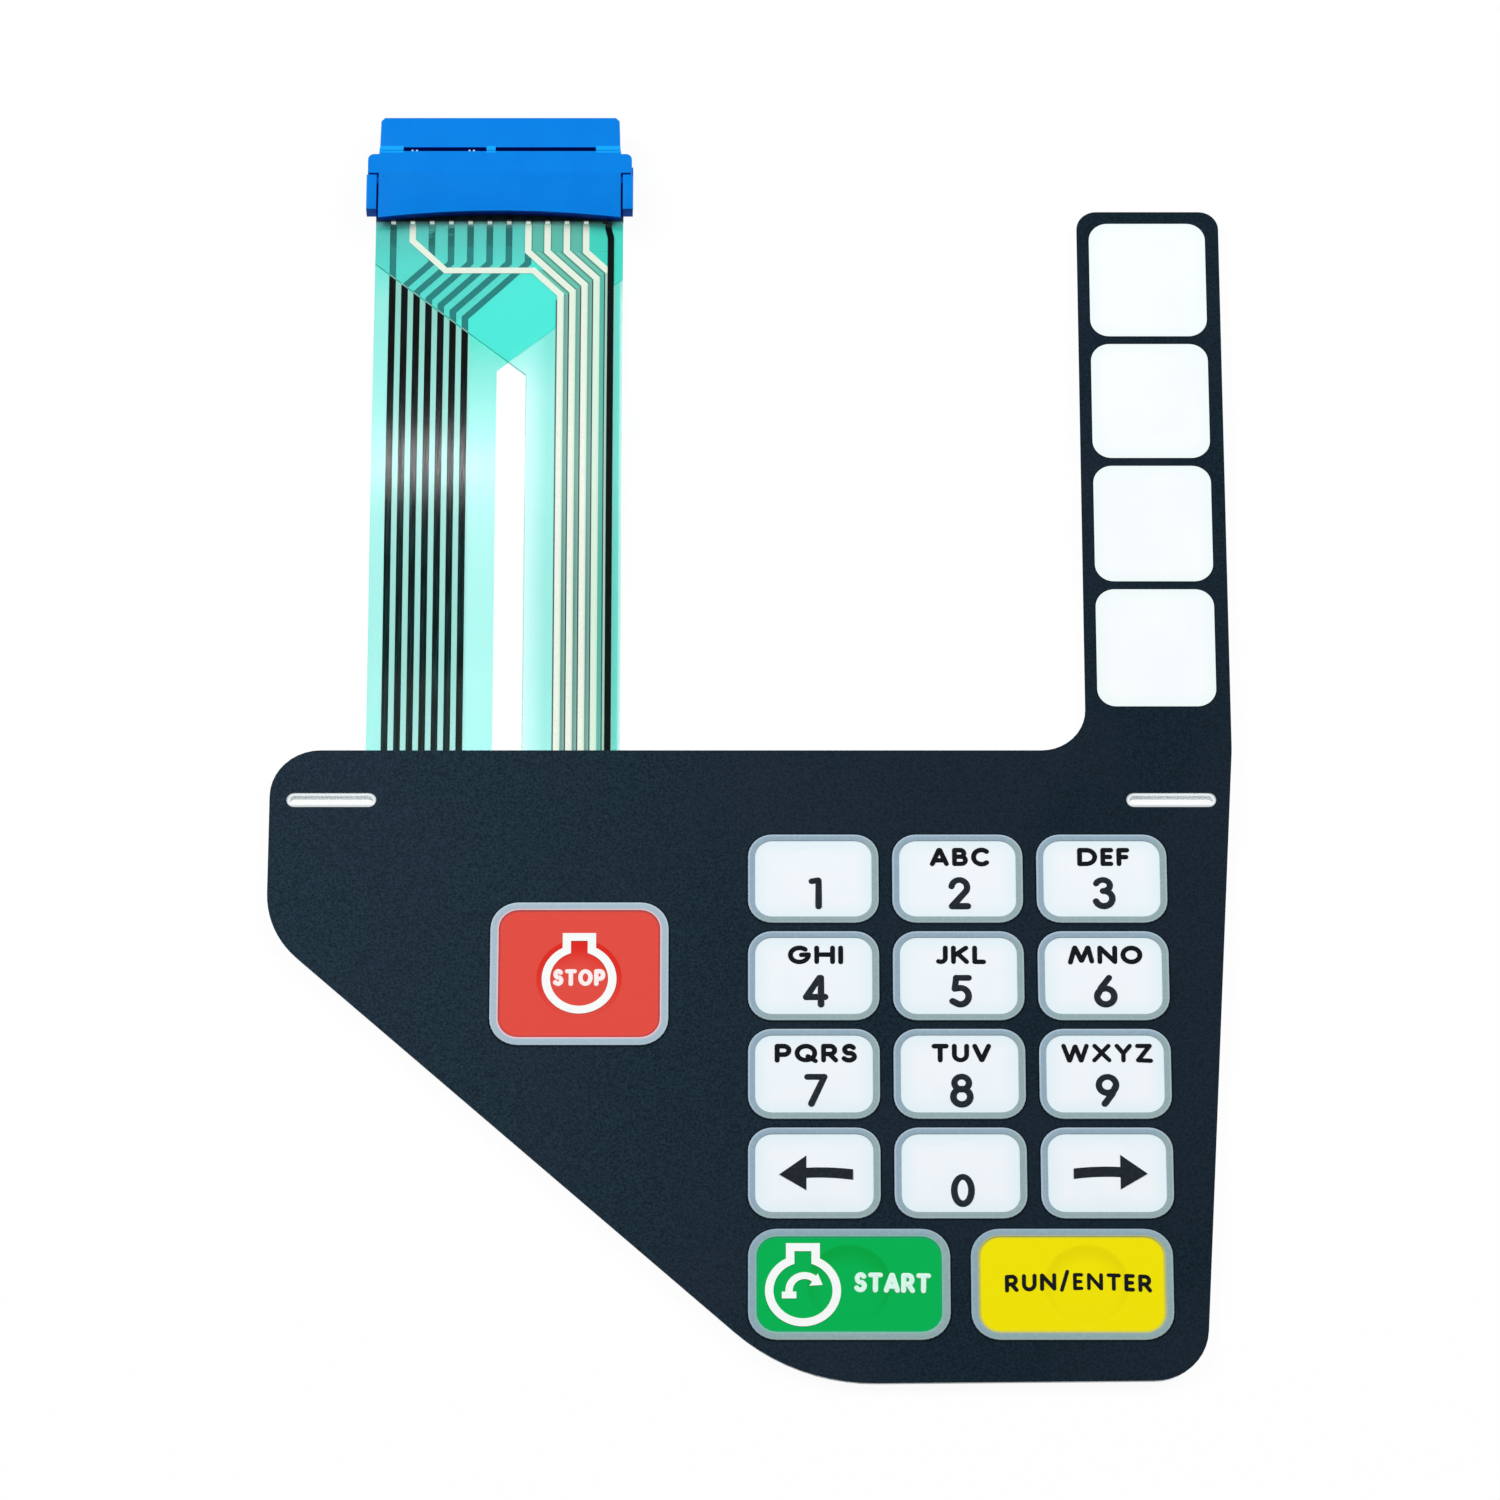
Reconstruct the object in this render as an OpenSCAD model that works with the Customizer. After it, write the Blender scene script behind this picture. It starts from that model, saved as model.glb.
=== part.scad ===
// Flat membrane keypad: printed overlay, snap domes, two circuit films, tail and crimp connector.
// Each node is drawn from the panel's top left corner and moved to the middle of the whole part.

/* [Panel outline] */
// Width of the panel across its shoulder
panel_w = 123.2; // [121:0.1:128]
// Height of the panel from its top edge to its bottom edge
panel_h = 85.9; // [84.5:0.1:90]
// Length of the straight left side above the slanted edge
left_h = 25.2; // [22:0.1:28]
// Length of the bottom edge between its two corners
bottom_w = 51.1; // [49:0.1:54]
// How far the right edge leans in between the shoulder and the bottom
right_lean = 5.1; // [3:0.1:5.5]
// How far the bottom edge climbs towards its right end
bottom_climb = 0.5; // [0:0.1:1]
// Radius of the top left corner
top_left_r = 6.4; // [4:0.1:8]
// Radius between the left side and the slanted edge
left_low_r = 11.9; // [8:0.1:14]
// Radius between the slanted edge and the bottom edge
bottom_left_r = 25.9; // [20:0.1:28]
// Radius of the bottom right corner
bottom_right_r = 6.9; // [5:0.1:8]
// Radius of the shoulder between strip and panel
shoulder_r = 22.4; // [15:0.1:30]
// How far the lower layers stay inside the overlay's edge
layer_inset = 0.3; // [0.1:0.05:0.6]

/* [Softkey strip] */
// Width of the strip
strip_w = 18.7; // [18:0.1:20]
// Length of the strip above the panel
strip_h = 77.8; // [77.2:0.1:84]
// Radius of the strip's two end corners
strip_corner_r = 2.6; // [1.5:0.1:4]
// Radius of the inner corner between strip and panel
strip_fillet_r = 5.7; // [4:0.1:7]
// Corner radius of a softkey window
soft_r = 2.5; // [1.5:0.1:4]
// Gap between two softkeys
soft_gap = 1.05; // [0.8:0.05:2]
// Distance from the strip's inner edge to the softkeys
soft_left = 1.55; // [1:0.05:2]
// Distance from the strip's outer edge to the softkeys
soft_right = 1.75; // [1:0.05:2]
// Distance from the strip's end to the last softkey
soft_top = 1.75; // [1:0.05:3]
// Distance from the panel's top edge up to the first softkey
soft_bottom = 6.1; // [5:0.1:8]

/* [Number keys] */
// Distance from the panel's left edge to the number keys
keys_left = 61.2; // [60:0.1:62]
// Distance from the panel's right edge to the number keys
keys_right = 8.7; // [8:0.1:10]
// Distance from the panel's top edge to the number keys
keys_top = 11.85; // [11:0.05:12.5]
// Distance from the lowest keys to the panel's bottom edge
keys_bottom = 5.7; // [5:0.1:6.5]
// Gap between two columns
col_gap = 1.76; // [1.2:0.02:3]
// Gap between two rows
row_gap = 1.2; // [0.8:0.05:2]
// Corner radius of a number key
key_r = 3.05; // [2:0.05:4]
// Width of the silver border of a number key
border_w = 0.85; // [0.6:0.05:1.4]

/* [Function keys] */
// Height of the two wide keys below the numbers
wide_h = 14.7; // [13.5:0.1:15]
// Gap between the two wide keys
wide_gap = 2.6; // [2:0.1:3]
// Gap between the wide keys and the number keys
wide_row_gap = 1.4; // [1:0.05:2]
// How far the wide keys end short of the last column
wide_short = 0.3; // [0:0.05:1]
// Width of the stop key
stop_w = 22.6; // [20:0.1:25]
// Height of the stop key
stop_h = 19.5; // [18:0.1:22]
// Distance from the panel's left edge to the stop key's centre
stop_x = 39.8; // [39:0.1:44]
// Distance from the panel's top edge to the stop key's centre
stop_y = 31; // [30.5:0.1:33]
// Corner radius of the stop key and the wide keys
wide_r = 3.6; // [2.5:0.1:5]
// Width of the silver border of the stop key and the wide keys
wide_border_w = 1.05; // [0.8:0.05:1.8]
// Gap between the start key's border and its symbol
symbol_gap = 1.05; // [0.6:0.05:1.6]

/* [Mounting slots] */
// Length of a slot in the overlay
slot_l = 11.5; // [9:0.1:12.4]
// Width of a slot in the overlay
slot_w = 2.05; // [1.6:0.05:2.4]
// Distance from the panel's side to a slot's centre
slot_inset = 7.9; // [7.4:0.1:8.4]
// Distance from the panel's top edge to a slot's centre
slot_y = 6.9; // [6.8:0.05:7.2]
// How much smaller the slot is all round in the layers below
slot_ledge = 0.4; // [0.1:0.05:0.6]

/* [Layers] */
// Thickness of the release liner
liner_t = 0.1; // [0.08:0.01:0.16]
// Thickness of the rear adhesive
rear_adhesive_t = 0.13; // [0.1:0.01:0.2]
// Thickness of each circuit film
film_t = 0.15; // [0.1:0.01:0.18]
// Thickness of a printed track
track_t = 0.02; // [0.02:0.01:0.04]
// Thickness of the spacer between the circuit films
spacer_t = 0.2; // [0.15:0.01:0.3]
// Thickness of the green insulating coat
coat_t = 0.03; // [0.02:0.01:0.05]
// Thickness of the dome spacer
dome_spacer_t = 0.36; // [0.34:0.01:0.5]
// Thickness of the adhesive below the overlay
top_adhesive_t = 0.05; // [0.04:0.01:0.1]
// Thickness of the overlay film
overlay_t = 0.18; // [0.15:0.01:0.25]
// Thickness of a printed field
print_t = 0.03; // [0.02:0.01:0.05]
// Height of the embossed rim round a key
rim_h = 0.16; // [0.12:0.01:0.25]
// Height of the embossed face of a key
face_h = 0.07; // [0.05:0.01:0.1]

/* [Domes and contacts] */
// Diameter of a snap dome
dome_d = 10; // [8:0.1:10.6]
// Height of a snap dome
dome_rise = 0.3; // [0.25:0.01:0.32]
// Thickness of the dome steel
dome_t = 0.06; // [0.04:0.01:0.08]
// Clearance all round a dome in its pocket
dome_clear = 0.2; // [0.1:0.05:0.3]
// Height of the dome's imprint on a key face
imprint_h = 0.06; // [0.03:0.01:0.1]
// Diameter of a printed contact
contact_d = 6.6; // [5:0.1:7]
// Diameter of the opening over a contact
opening_d = 8.2; // [7.2:0.1:9]

/* [Tail] */
// Distance from the panel's left edge to the tail's middle
tail_x = 28.42; // [27:0.02:30]
// Distance from the outer contacts to the tail's two edges
tail_margin = 2.33; // [2:0.01:2.5]
// Width of the lower film's part of the tail
lower_tail_w = 16.2; // [15:0.1:16.5]
// Width of the upper film's part of the tail
upper_tail_w = 12.6; // [12:0.1:13]
// Distance from the panel to the connector
tail_l = 75.6; // [75:0.1:82]
// Distance from the connector to where the lower film's part of the tail begins to spread
fork_l = 21.7; // [21:0.1:24]
// How much later the upper film's part begins to spread
fork_lag = 0.8; // [0:0.1:1.5]
// Slope of the two spreading edges, in degrees
fork_angle = 39.6; // [36:0.1:41]
// How far the tail bows up between panel and connector
tail_bow = 1.2; // [0.6:0.1:3]
// Width of a black track
track_w = 0.88; // [0.7:0.01:0.95]
// Width of a silver track
silver_w = 0.84; // [0.7:0.01:0.95]
// Distance between two tracks on the tail
track_pitch = 1.6; // [1.5:0.01:1.62]

/* [Connector] */
// Distance between two contacts
pitch = 2.54; // [2.5:0.01:2.55]
// Thickness of the body's wall outside the last contact
end_wall = 0.95; // [0.6:0.05:1.1]
// How far the flap's ears reach past the body on each side
ear_reach = 1.45; // [1.3:0.01:2]
// Length of the connector
body_l = 14.9; // [14.6:0.1:17]
// Height of the connector's body
body_h = 4; // [3.9:0.05:5]
// Height of the flap's top face
flap_top = 4.2; // [4.1:0.05:5]
// Thickness of the flap
flap_t = 1.3; // [1.1:0.05:1.3]
// Depth of the arch in the flap's front edge
flap_arch = 1; // [0.5:0.1:1.5]
// Height at which the films enter the connector
entry_z = 1.85; // [1.8:0.01:1.95]

/* [Hidden] */

$fn = 48;
cols = 3;
rows = 4;
softkeys = 4;
positions = 12;
corner_steps = 10;
sliver = 0.01;

// Heights of the layers, from the table up
liner_z = 0;
rear_adhesive_z = liner_z + liner_t;
lower_film_z = rear_adhesive_z + rear_adhesive_t;
lower_track_z = lower_film_z + film_t;
spacer_z = lower_track_z + track_t;
coat_z = spacer_z + spacer_t;
upper_track_z = coat_z + coat_t;
edge_track_z = upper_track_z + track_t;
upper_film_z = edge_track_z + track_t;
dome_z = upper_film_z + film_t;
top_adhesive_z = dome_z + dome_spacer_t;
overlay_z = top_adhesive_z + top_adhesive_t;
surface_z = overlay_z + overlay_t;

// The same layers where they enter the connector
lower_track_entry = entry_z + film_t;
coat_entry = lower_track_entry + track_t;
upper_track_entry = coat_entry + coat_t;
edge_track_entry = upper_track_entry + track_t;
upper_film_entry = edge_track_entry + track_t;
films_top = upper_film_entry + film_t;

// Vectors and outlines
function unit(v) = v / norm(v);
function flat(p) = [p[0], p[1]];
function left_of(v) = [-v[1], v[0]];
function reversed(v) = [for (i = [len(v) - 1:-1:0]) v[i]];
function heading(p, i) = unit(flat(p[(i + 1) % len(p)]) - flat(p[i]));
function bends_left(a, b) = a[0] * b[1] - a[1] * b[0] > 0;

// Arc of radius r that rounds the corner b between a and c
function corner_arc(a, b, c, r) =
    let (d1 = unit(flat(a) - flat(b)), d2 = unit(flat(c) - flat(b)),
         half = acos(d1 * d2) / 2,
         middle = flat(b) + unit(d1 + d2) * r / sin(half),
         p1 = flat(b) + d1 * r / tan(half) - middle,
         p2 = flat(b) + d2 * r / tan(half) - middle,
         from = atan2(p1[1], p1[0]),
         sweep = (atan2(p2[1], p2[0]) - from + 540) % 360 - 180)
    [for (i = [0:corner_steps])
        middle + r * [cos(from + sweep * i / corner_steps), sin(from + sweep * i / corner_steps)]];

// Outline through corners [x, y, radius], with each corner rounded
function rounded(c) =
    let (n = len(c))
    [for (i = [0:n - 1]) each corner_arc(c[(i + n - 1) % n], c[i], c[(i + 1) % n], c[i][2])];

// The same corners moved inwards by d, for an outline that runs anticlockwise
function inset(c, d) =
    let (n = len(c))
    [for (i = [0:n - 1])
        let (h1 = heading(c, (i + n - 1) % n), h2 = heading(c, i),
             n1 = left_of(h1), n2 = left_of(h2),
             p = flat(c[i]) + (n1 + n2) * d / (1 + n1 * n2))
        [p[0], p[1], c[i][2] + (bends_left(h1, h2) ? -d : d)]];

function rounded_box(at, w, h, r) =
    rounded([[at[0] - w / 2, at[1] - h / 2, r], [at[0] + w / 2, at[1] - h / 2, r],
             [at[0] + w / 2, at[1] + h / 2, r], [at[0] - w / 2, at[1] + h / 2, r]]);

// One side of a band of constant width along a path, with mitred bends
function band_side(p, d) =
    [for (i = [0:len(p) - 1])
        let (n1 = left_of(unit(p[max(i, 1)] - p[max(i, 1) - 1])),
             n2 = left_of(unit(p[min(i, len(p) - 2) + 1] - p[min(i, len(p) - 2)])))
        p[i] + (n1 + n2) * d / (1 + n1 * n2)];
function band(p, w) = concat(band_side(p, -w / 2), reversed(band_side(p, w / 2)));

// Panel outline, anticlockwise from the top left corner
strip_x = panel_w - strip_w;
panel_corners = [
    [0, 0, top_left_r],
    [0, -left_h, left_low_r],
    [panel_w - right_lean - bottom_w, -panel_h, bottom_left_r],
    [panel_w - right_lean, bottom_climb - panel_h, bottom_right_r],
    [panel_w, 0, shoulder_r],
    [panel_w, strip_h, strip_corner_r],
    [strip_x, strip_h, strip_corner_r],
    [strip_x, 0, strip_fillet_r]];
panel_outline = rounded(panel_corners);
layer_outline = rounded(inset(panel_corners, layer_inset));
slant_slope = (panel_h - left_h) / (panel_w - right_lean - bottom_w);
slant_run = sqrt(1 + slant_slope * slant_slope);

// Middle of the whole part, which becomes its origin
front_y = min([for (p = panel_outline) p[1]]);
rear_y = tail_l + body_l;
middle = [panel_w / 2, (front_y + rear_y) / 2];

// Key sizes: each field of keys fills the room that the margins and gaps leave
field_w = panel_w - keys_left - keys_right;
field_h = panel_h - keys_top - keys_bottom - wide_h - wide_row_gap;
key_w = (field_w - (cols - 1) * col_gap) / cols;
key_h = (field_h - (rows - 1) * row_gap) / rows;
col_pitch = key_w + col_gap;
row_pitch = key_h + row_gap;
wide_w = (field_w - wide_short - wide_gap) / 2;
soft_w = strip_w - soft_left - soft_right;
soft_h = (strip_h - soft_bottom - soft_top - (softkeys - 1) * soft_gap) / softkeys;
soft_pitch = soft_h + soft_gap;

// Key centres
function col_x(c) = keys_left + key_w / 2 + c * col_pitch;
function row_y(r) = -keys_top - key_h / 2 - r * row_pitch;
wide_y = keys_bottom + wide_h / 2 - panel_h;
soft_x = strip_x + soft_left + soft_w / 2;
number_keys = [for (r = [0:rows - 1]) for (c = [0:cols - 1]) [col_x(c), row_y(r)]];
stop_key = [stop_x, -stop_y];
start_key = [keys_left + wide_w / 2, wide_y];
enter_key = [keys_left + wide_w * 1.5 + wide_gap, wide_y];
soft_keys = [for (i = [0:softkeys - 1]) [soft_x, soft_bottom + soft_h / 2 + i * soft_pitch]];

// Dome centres: most lie under their key's middle
stop_dome = stop_key - [0, 0.7];
start_dome = start_key;
enter_dome = enter_key + [1.8, 0];
domes = concat(number_keys, [stop_dome, start_dome, enter_dome], soft_keys);

// Tail
tail_w = (positions - 1) * pitch + 2 * tail_margin;
tail_left = tail_x - tail_w / 2;
tail_right = tail_x + tail_w / 2;
tail_root = -4;
fork_y = tail_l - fork_l;
tail_start = 1.5;
tail_finish = tail_l - 3;
tail_steps = 20;
film_end = tail_l + 5.6;
shoulder_y = tail_l + 1.1;
shoulder_w = 0.65;
spread = tan(fork_angle);

// Outline of both films inside the connector, where shoulders clear the latch posts
tail_head = [
    [tail_right, shoulder_y], [tail_right - shoulder_w, shoulder_y],
    [tail_right - shoulder_w, film_end], [tail_left + shoulder_w, film_end],
    [tail_left + shoulder_w, shoulder_y], [tail_left, shoulder_y]];
lower_tail = concat(
    [[tail_left, tail_root], [tail_left + lower_tail_w, tail_root],
     [tail_left + lower_tail_w, fork_y],
     [tail_right, fork_y + (tail_w - lower_tail_w) * spread]],
    tail_head);
upper_tail = concat(
    [[tail_right - upper_tail_w, tail_root], [tail_right, tail_root]],
    tail_head,
    [[tail_left, fork_y - fork_lag + (tail_w - upper_tail_w) * spread],
     [tail_right - upper_tail_w, fork_y - fork_lag]]);
function ease(t) = t * t * (3 - 2 * t);
function tail_height(t, z0, z1) = z0 + (z1 - z0) * ease(t) + tail_bow * pow(sin(180 * t), 2);
function tail_line(z0, z1) =
    concat([[tail_root, z0]],
           [for (i = [0:tail_steps])
               [tail_start + (tail_finish - tail_start) * i / tail_steps,
                tail_height(i / tail_steps, z0, z1)]],
           [[film_end, z1]]);

// Track paths: first the tail, then the panel
function pin_x(i) = tail_x + (i - (positions - 1) / 2) * pitch;
lower_tracks = 7;
bend_y = tail_l - 5.65;
join_y = tail_root + 1;
first_carbon = pin_x(0);
function carbon_x(i) = first_carbon + i * track_pitch;
function carbon_pin(i) = i == 0 ? 0 : i + 1;
function carbon_tail(i) =
    let (x0 = carbon_x(i), x1 = pin_x(carbon_pin(i)))
    i == 0 ? [[x0, join_y], [x0, film_end]]
           : [[x0, join_y], [x0, bend_y - (x1 - x0)], [x1, bend_y], [x1, film_end]];
silver_tracks = 5;
silver_pitch = track_pitch - 0.03;
last_silver = tail_right - 1.88;
function silver_x(i) = last_silver - (silver_tracks - 1 - i) * silver_pitch;
function silver_pin(i) = i == 0 ? 1 : 6 + i;
silver_bend = tail_l - 4;
function silver_tail(i) =
    let (x0 = silver_x(i), x1 = pin_x(silver_pin(i)))
    [[x1, film_end], [x1, silver_bend], [x0, silver_bend - (x0 - x1)], [x0, join_y]];
first_silver_run = tail_l - 6.8;
first_silver_drop = pin_x(1) + (tail_l - 2.4 - first_silver_run);
first_silver = [
    [pin_x(1), film_end], [pin_x(1), tail_l - 2.4],
    [first_silver_drop, first_silver_run],
    [silver_x(0) - 3.6, first_silver_run], [silver_x(0), first_silver_run - 3.6],
    [silver_x(0), join_y]];
edge_x = last_silver + 0.28;
edge_path = [[pin_x(11) + 0.4, film_end], [pin_x(11) + 0.4, tail_l - 0.6],
             [edge_x, tail_l - 2], [edge_x, join_y]];
edge_run = -1.6;

// Silver paths in the panel: each column of contacts hangs on one track
column_run = -3;
function column_y(i) = column_run - (silver_tracks - 1 - i) * track_pitch;
stop_path = [[silver_x(0), join_y], [silver_x(0), stop_dome[1] + 6],
             [stop_dome[0], stop_dome[1] + 6 - (stop_dome[0] - silver_x(0))], stop_dome];
soft_path = [[silver_x(4), join_y + 1], [silver_x(4), column_y(4)], [soft_x, column_y(4)],
             soft_keys[softkeys - 1]];
function column_path(c) =
    let (end = c == 0 ? start_dome : c == 2 ? enter_dome : [col_x(c), row_y(rows - 1)],
         turn = end[1] + 3 + abs(end[0] - col_x(c)))
    concat([[silver_x(c + 1), join_y + 1], [silver_x(c + 1), column_y(c + 1)],
            [col_x(c), column_y(c + 1)]],
           c == 1 ? [end] : [[col_x(c), turn], [end[0], end[1] + 3], end]);

// Carbon paths in the panel: each row of contacts hangs on one track
guard_gap = 2.5;
function slant_line(i) = (guard_gap + i * track_pitch) * slant_run - left_h;
function slant_top(i) = slant_line(i) - slant_slope * carbon_x(i);
function slant_x(i, y) = (slant_line(i) - y) / slant_slope;
guard_y = 3 - panel_h;
enter_y = guard_y + 3.4;
function down_slant(i, y) = [[carbon_x(i), join_y], [carbon_x(i), slant_top(i)], [slant_x(i, y), y]];
guard_path = concat(down_slant(0, guard_y), [[enter_dome[0] + 4, guard_y]]);
enter_path = concat(down_slant(1, enter_y), [[enter_dome[0], enter_y], enter_dome]);
start_path = concat(down_slant(2, start_dome[1]), [start_dome]);
function row_start(r) =
    r == 0 ? [[carbon_x(6), join_y], [carbon_x(6), row_y(0)]]
           : r == 1 ? concat(down_slant(5, stop_dome[1]), [stop_dome, stop_dome + [6, 0],
                             [stop_dome[0] + 8, row_y(1)]])
                    : down_slant(6 - r, row_y(r));

// Links from the ends of the rows to the softkeys, round the right slot
link_w = 0.6;
link_x = col_x(cols - 1) + 7.2;
function link_path(r) =
    let (up_x = link_x + 1.4 * r, over_y = row_y(0) + 4.7 + 1.3 * r,
         strip_line = strip_x + 1.1 + r, key = soft_keys[softkeys - 1 - r])
    [[col_x(cols - 1), row_y(r)], [up_x, row_y(r)], [up_x, over_y], [strip_line, over_y],
     [strip_line, key[1]], key];

module place() {
    translate([-middle[0], -middle[1], 0]) children();
}

module slot_shape(l, w) {
    square([l - w, w], center = true);
    for (s = [-1, 1]) translate([s * (l - w) / 2, 0]) circle(d = w);
}

module slots(ledge) {
    for (x = [slot_inset, panel_w - slot_inset])
        translate([x, -slot_y]) slot_shape(slot_l - 2 * ledge, slot_w - 2 * ledge);
}

// Holes of diameter d at each dome
module dome_holes(d) {
    for (at = domes) translate(at) circle(d = d);
}

// A full layer below the overlay, with the two slots
module layer_shape() {
    difference() {
        polygon(layer_outline);
        slots(slot_ledge);
    }
}

module layer(z, t) {
    translate([0, 0, z]) linear_extrude(t) layer_shape();
}

// Slab that follows the tail from height z0 at the panel to z1 in the connector
module tail_slab(z0, z1, t) {
    line = tail_line(z0, z1);
    translate([tail_left - 1, 0, 0]) rotate([90, 0, 90]) linear_extrude(tail_w + 2)
        polygon(concat(line, reversed([for (p = line) p + [0, t]])));
}

// Children are the flat shape; the result follows the tail
module along_tail(z0, z1, t) {
    intersection() {
        linear_extrude(flap_top + tail_bow + 1) children();
        tail_slab(z0, z1, t);
    }
}

// Slits that let the crimp tines through the films
tine_w = 0.6;
tine_t = 0.22;
tine_r = 0.42;
tine_rows = [0.5, 3.6];
module tine_slits() {
    for (i = [0:positions - 1]) for (y = tine_rows)
        translate([pin_x(i), tail_l + y - tine_r + tine_t / 2])
            square([tine_w + 0.1, tine_t + 0.1], center = true);
}

module key_ring(at, w, h, r, border) {
    difference() {
        polygon(rounded_box(at, w, h, r));
        polygon(rounded_box(at, w - 2 * border, h - 2 * border, r - border));
    }
}

// All silver borders, grown outwards by more
module border_shapes() {
    for (at = number_keys) key_ring(at, key_w, key_h, key_r, border_w);
    key_ring(stop_key, stop_w, stop_h, wide_r, wide_border_w);
    for (at = [start_key, enter_key]) key_ring(at, wide_w, wide_h, wide_r, wide_border_w);
}

// All key areas, made smaller by d on every side
module key_shapes(d) {
    for (at = number_keys)
        polygon(rounded_box(at, key_w - 2 * d, key_h - 2 * d, key_r - d));
    polygon(rounded_box(stop_key, stop_w - 2 * d, stop_h - 2 * d, wide_r - d));
    for (at = [start_key, enter_key])
        polygon(rounded_box(at, wide_w - 2 * d, wide_h - 2 * d, wide_r - d));
    for (at = soft_keys)
        polygon(rounded_box(at, soft_w - 2 * d, soft_h - 2 * d, soft_r - d));
}

module overlay_film() {
    color([0.11, 0.16, 0.2]) place() difference() {
        union() {
            translate([0, 0, overlay_z]) linear_extrude(overlay_t) difference() {
                polygon(panel_outline);
                slots(0);
            }
            translate([0, 0, surface_z - sliver]) linear_extrude(face_h + sliver) key_shapes(0);
            translate([0, 0, surface_z - sliver]) linear_extrude(rim_h + sliver) border_shapes();
        }
        translate([0, 0, overlay_z - 1]) linear_extrude(1 + face_h) key_shapes(overlay_t);
    }
}

module key_borders() {
    color([0.6, 0.68, 0.71]) place()
        translate([0, 0, surface_z + rim_h]) linear_extrude(print_t) border_shapes();
}

// Low crown that a dome presses into a key face
module imprint(at, d) {
    r = (d * d / 4 + imprint_h * imprint_h) / (2 * imprint_h);
    steps = 5;
    edge = asin(d / 2 / r);
    crown = [for (i = [0:steps]) let (a = edge * (1 - i / steps))
                [i == steps ? 0 : r * sin(a), print_t + r * cos(a) - r + imprint_h]];
    translate([at[0], at[1], surface_z + face_h])
        rotate_extrude() polygon(concat([[0, 0], [d / 2, 0]], crown));
}

module face(at, w, h, r, border) {
    translate([0, 0, surface_z + face_h]) linear_extrude(print_t)
        polygon(rounded_box(at, w - 2 * border, h - 2 * border, r - border));
}

module number_key_faces() {
    color([0.93, 0.95, 0.96]) place() for (at = number_keys) {
        face(at, key_w, key_h, key_r, border_w);
        imprint(at, dome_d - 1.4);
    }
}

module softkey_faces() {
    color([0.96, 0.98, 0.98]) place() for (at = soft_keys) {
        face(at, soft_w, soft_h, soft_r, 0.05);
        imprint(at, dome_d);
    }
}

module stop_key_face() {
    color([0.87, 0.31, 0.27]) place() {
        face(stop_key, stop_w, stop_h, wide_r, wide_border_w);
        imprint(stop_dome, dome_d + 0.6);
    }
}

module start_key_face() {
    color([0.01, 0.67, 0.32]) place() {
        face(start_key, wide_w, wide_h, wide_r, wide_border_w);
        imprint(start_dome, dome_d);
    }
}

module enter_key_face() {
    color([0.93, 0.87, 0.04]) place() {
        face(enter_key, wide_w, wide_h, wide_r, wide_border_w);
        imprint(enter_dome, dome_d);
    }
}

// Arrow with a slightly arched shaft, pointing to the left about its own middle
arrow_l = 9.25;
arrow_h = 4.65;
arrow_head = 3.4;
arrow_shaft = 1.36;
arrow_rise = 0.13;
arrow_drop = 0.2;
module arrow() {
    steps = 8;
    neck = arrow_head - arrow_l / 2;
    arch = [for (i = [0:steps]) let (t = i / steps)
               [neck - 0.1 + t * (arrow_l / 2 - neck + 0.1),
                4 * arrow_rise * t * (1 - t) - arrow_drop * t]];
    polygon(concat([for (p = arch) p - [0, arrow_shaft / 2]],
                   reversed([for (p = arch) p + [0, arrow_shaft / 2]])));
    polygon([[-arrow_l / 2, -arrow_drop], [neck, -arrow_h / 2], [neck, arrow_h / 2]]);
}

// A printed sign: its underside follows the crown it lies on
legend_z = surface_z + face_h + print_t;
module legend() {
    translate([0, 0, legend_z]) linear_extrude(imprint_h + print_t) children();
}

module arrow_legends() {
    arrow_y = row_y(rows - 1);
    ends = [col_x(0), col_x(cols - 1)];
    color([0.12, 0.15, 0.18]) place() difference() {
        legend() {
            translate([ends[0] + 0.23, arrow_y]) arrow();
            translate([ends[1] + 0.43, arrow_y + 0.1]) mirror([1, 0]) arrow();
        }
        for (x = ends) imprint([x, row_y(rows - 1)], dome_d - 1.4);
    }
}

// Outline of an engine seen from the front: a ring with a square neck
engine_r = 4.74;
engine_stroke = 1.06;
neck_w = 4.24;
neck_h = 6.28;
module engine_ring() {
    difference() {
        union() {
            circle(r = engine_r);
            translate([-neck_w / 2, 0]) square([neck_w, neck_h]);
        }
        circle(r = engine_r - engine_stroke);
        translate([engine_stroke - neck_w / 2, 0])
            square([neck_w - 2 * engine_stroke, neck_h - engine_stroke]);
    }
}

// Turning arrow inside the start key's ring
turn_r = 1.93;
turn_stroke = 0.92;
foot_w = 1.81;
foot_h = 0.9;
module turning_arrow() {
    steps = 12;
    foot_y = -0.2;
    arch = concat([[-turn_r, foot_y - foot_h / 2]],
        [for (i = [0:steps]) let (a = 180 - 130 * i / steps) turn_r * [cos(a), sin(a)]]);
    translate([0.2, 0.05]) {
        polygon(band(arch, turn_stroke));
        polygon([[2.24, 0.69], [1.65, 2.22], [0.59, 0.57]]);
        translate([-turn_r, foot_y - foot_h / 2]) square([foot_w, foot_h], center = true);
    }
}

module engine_symbols() {
    color([0.97, 0.98, 0.97]) place() difference() {
        legend() {
            translate(stop_key - [0, 0.75]) engine_ring();
            translate([keys_left + wide_border_w + symbol_gap + engine_r, wide_y - 0.85]) {
                engine_ring();
                turning_arrow();
            }
        }
        imprint(stop_dome, dome_d + 0.6);
        imprint(start_dome, dome_d);
    }
}

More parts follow.
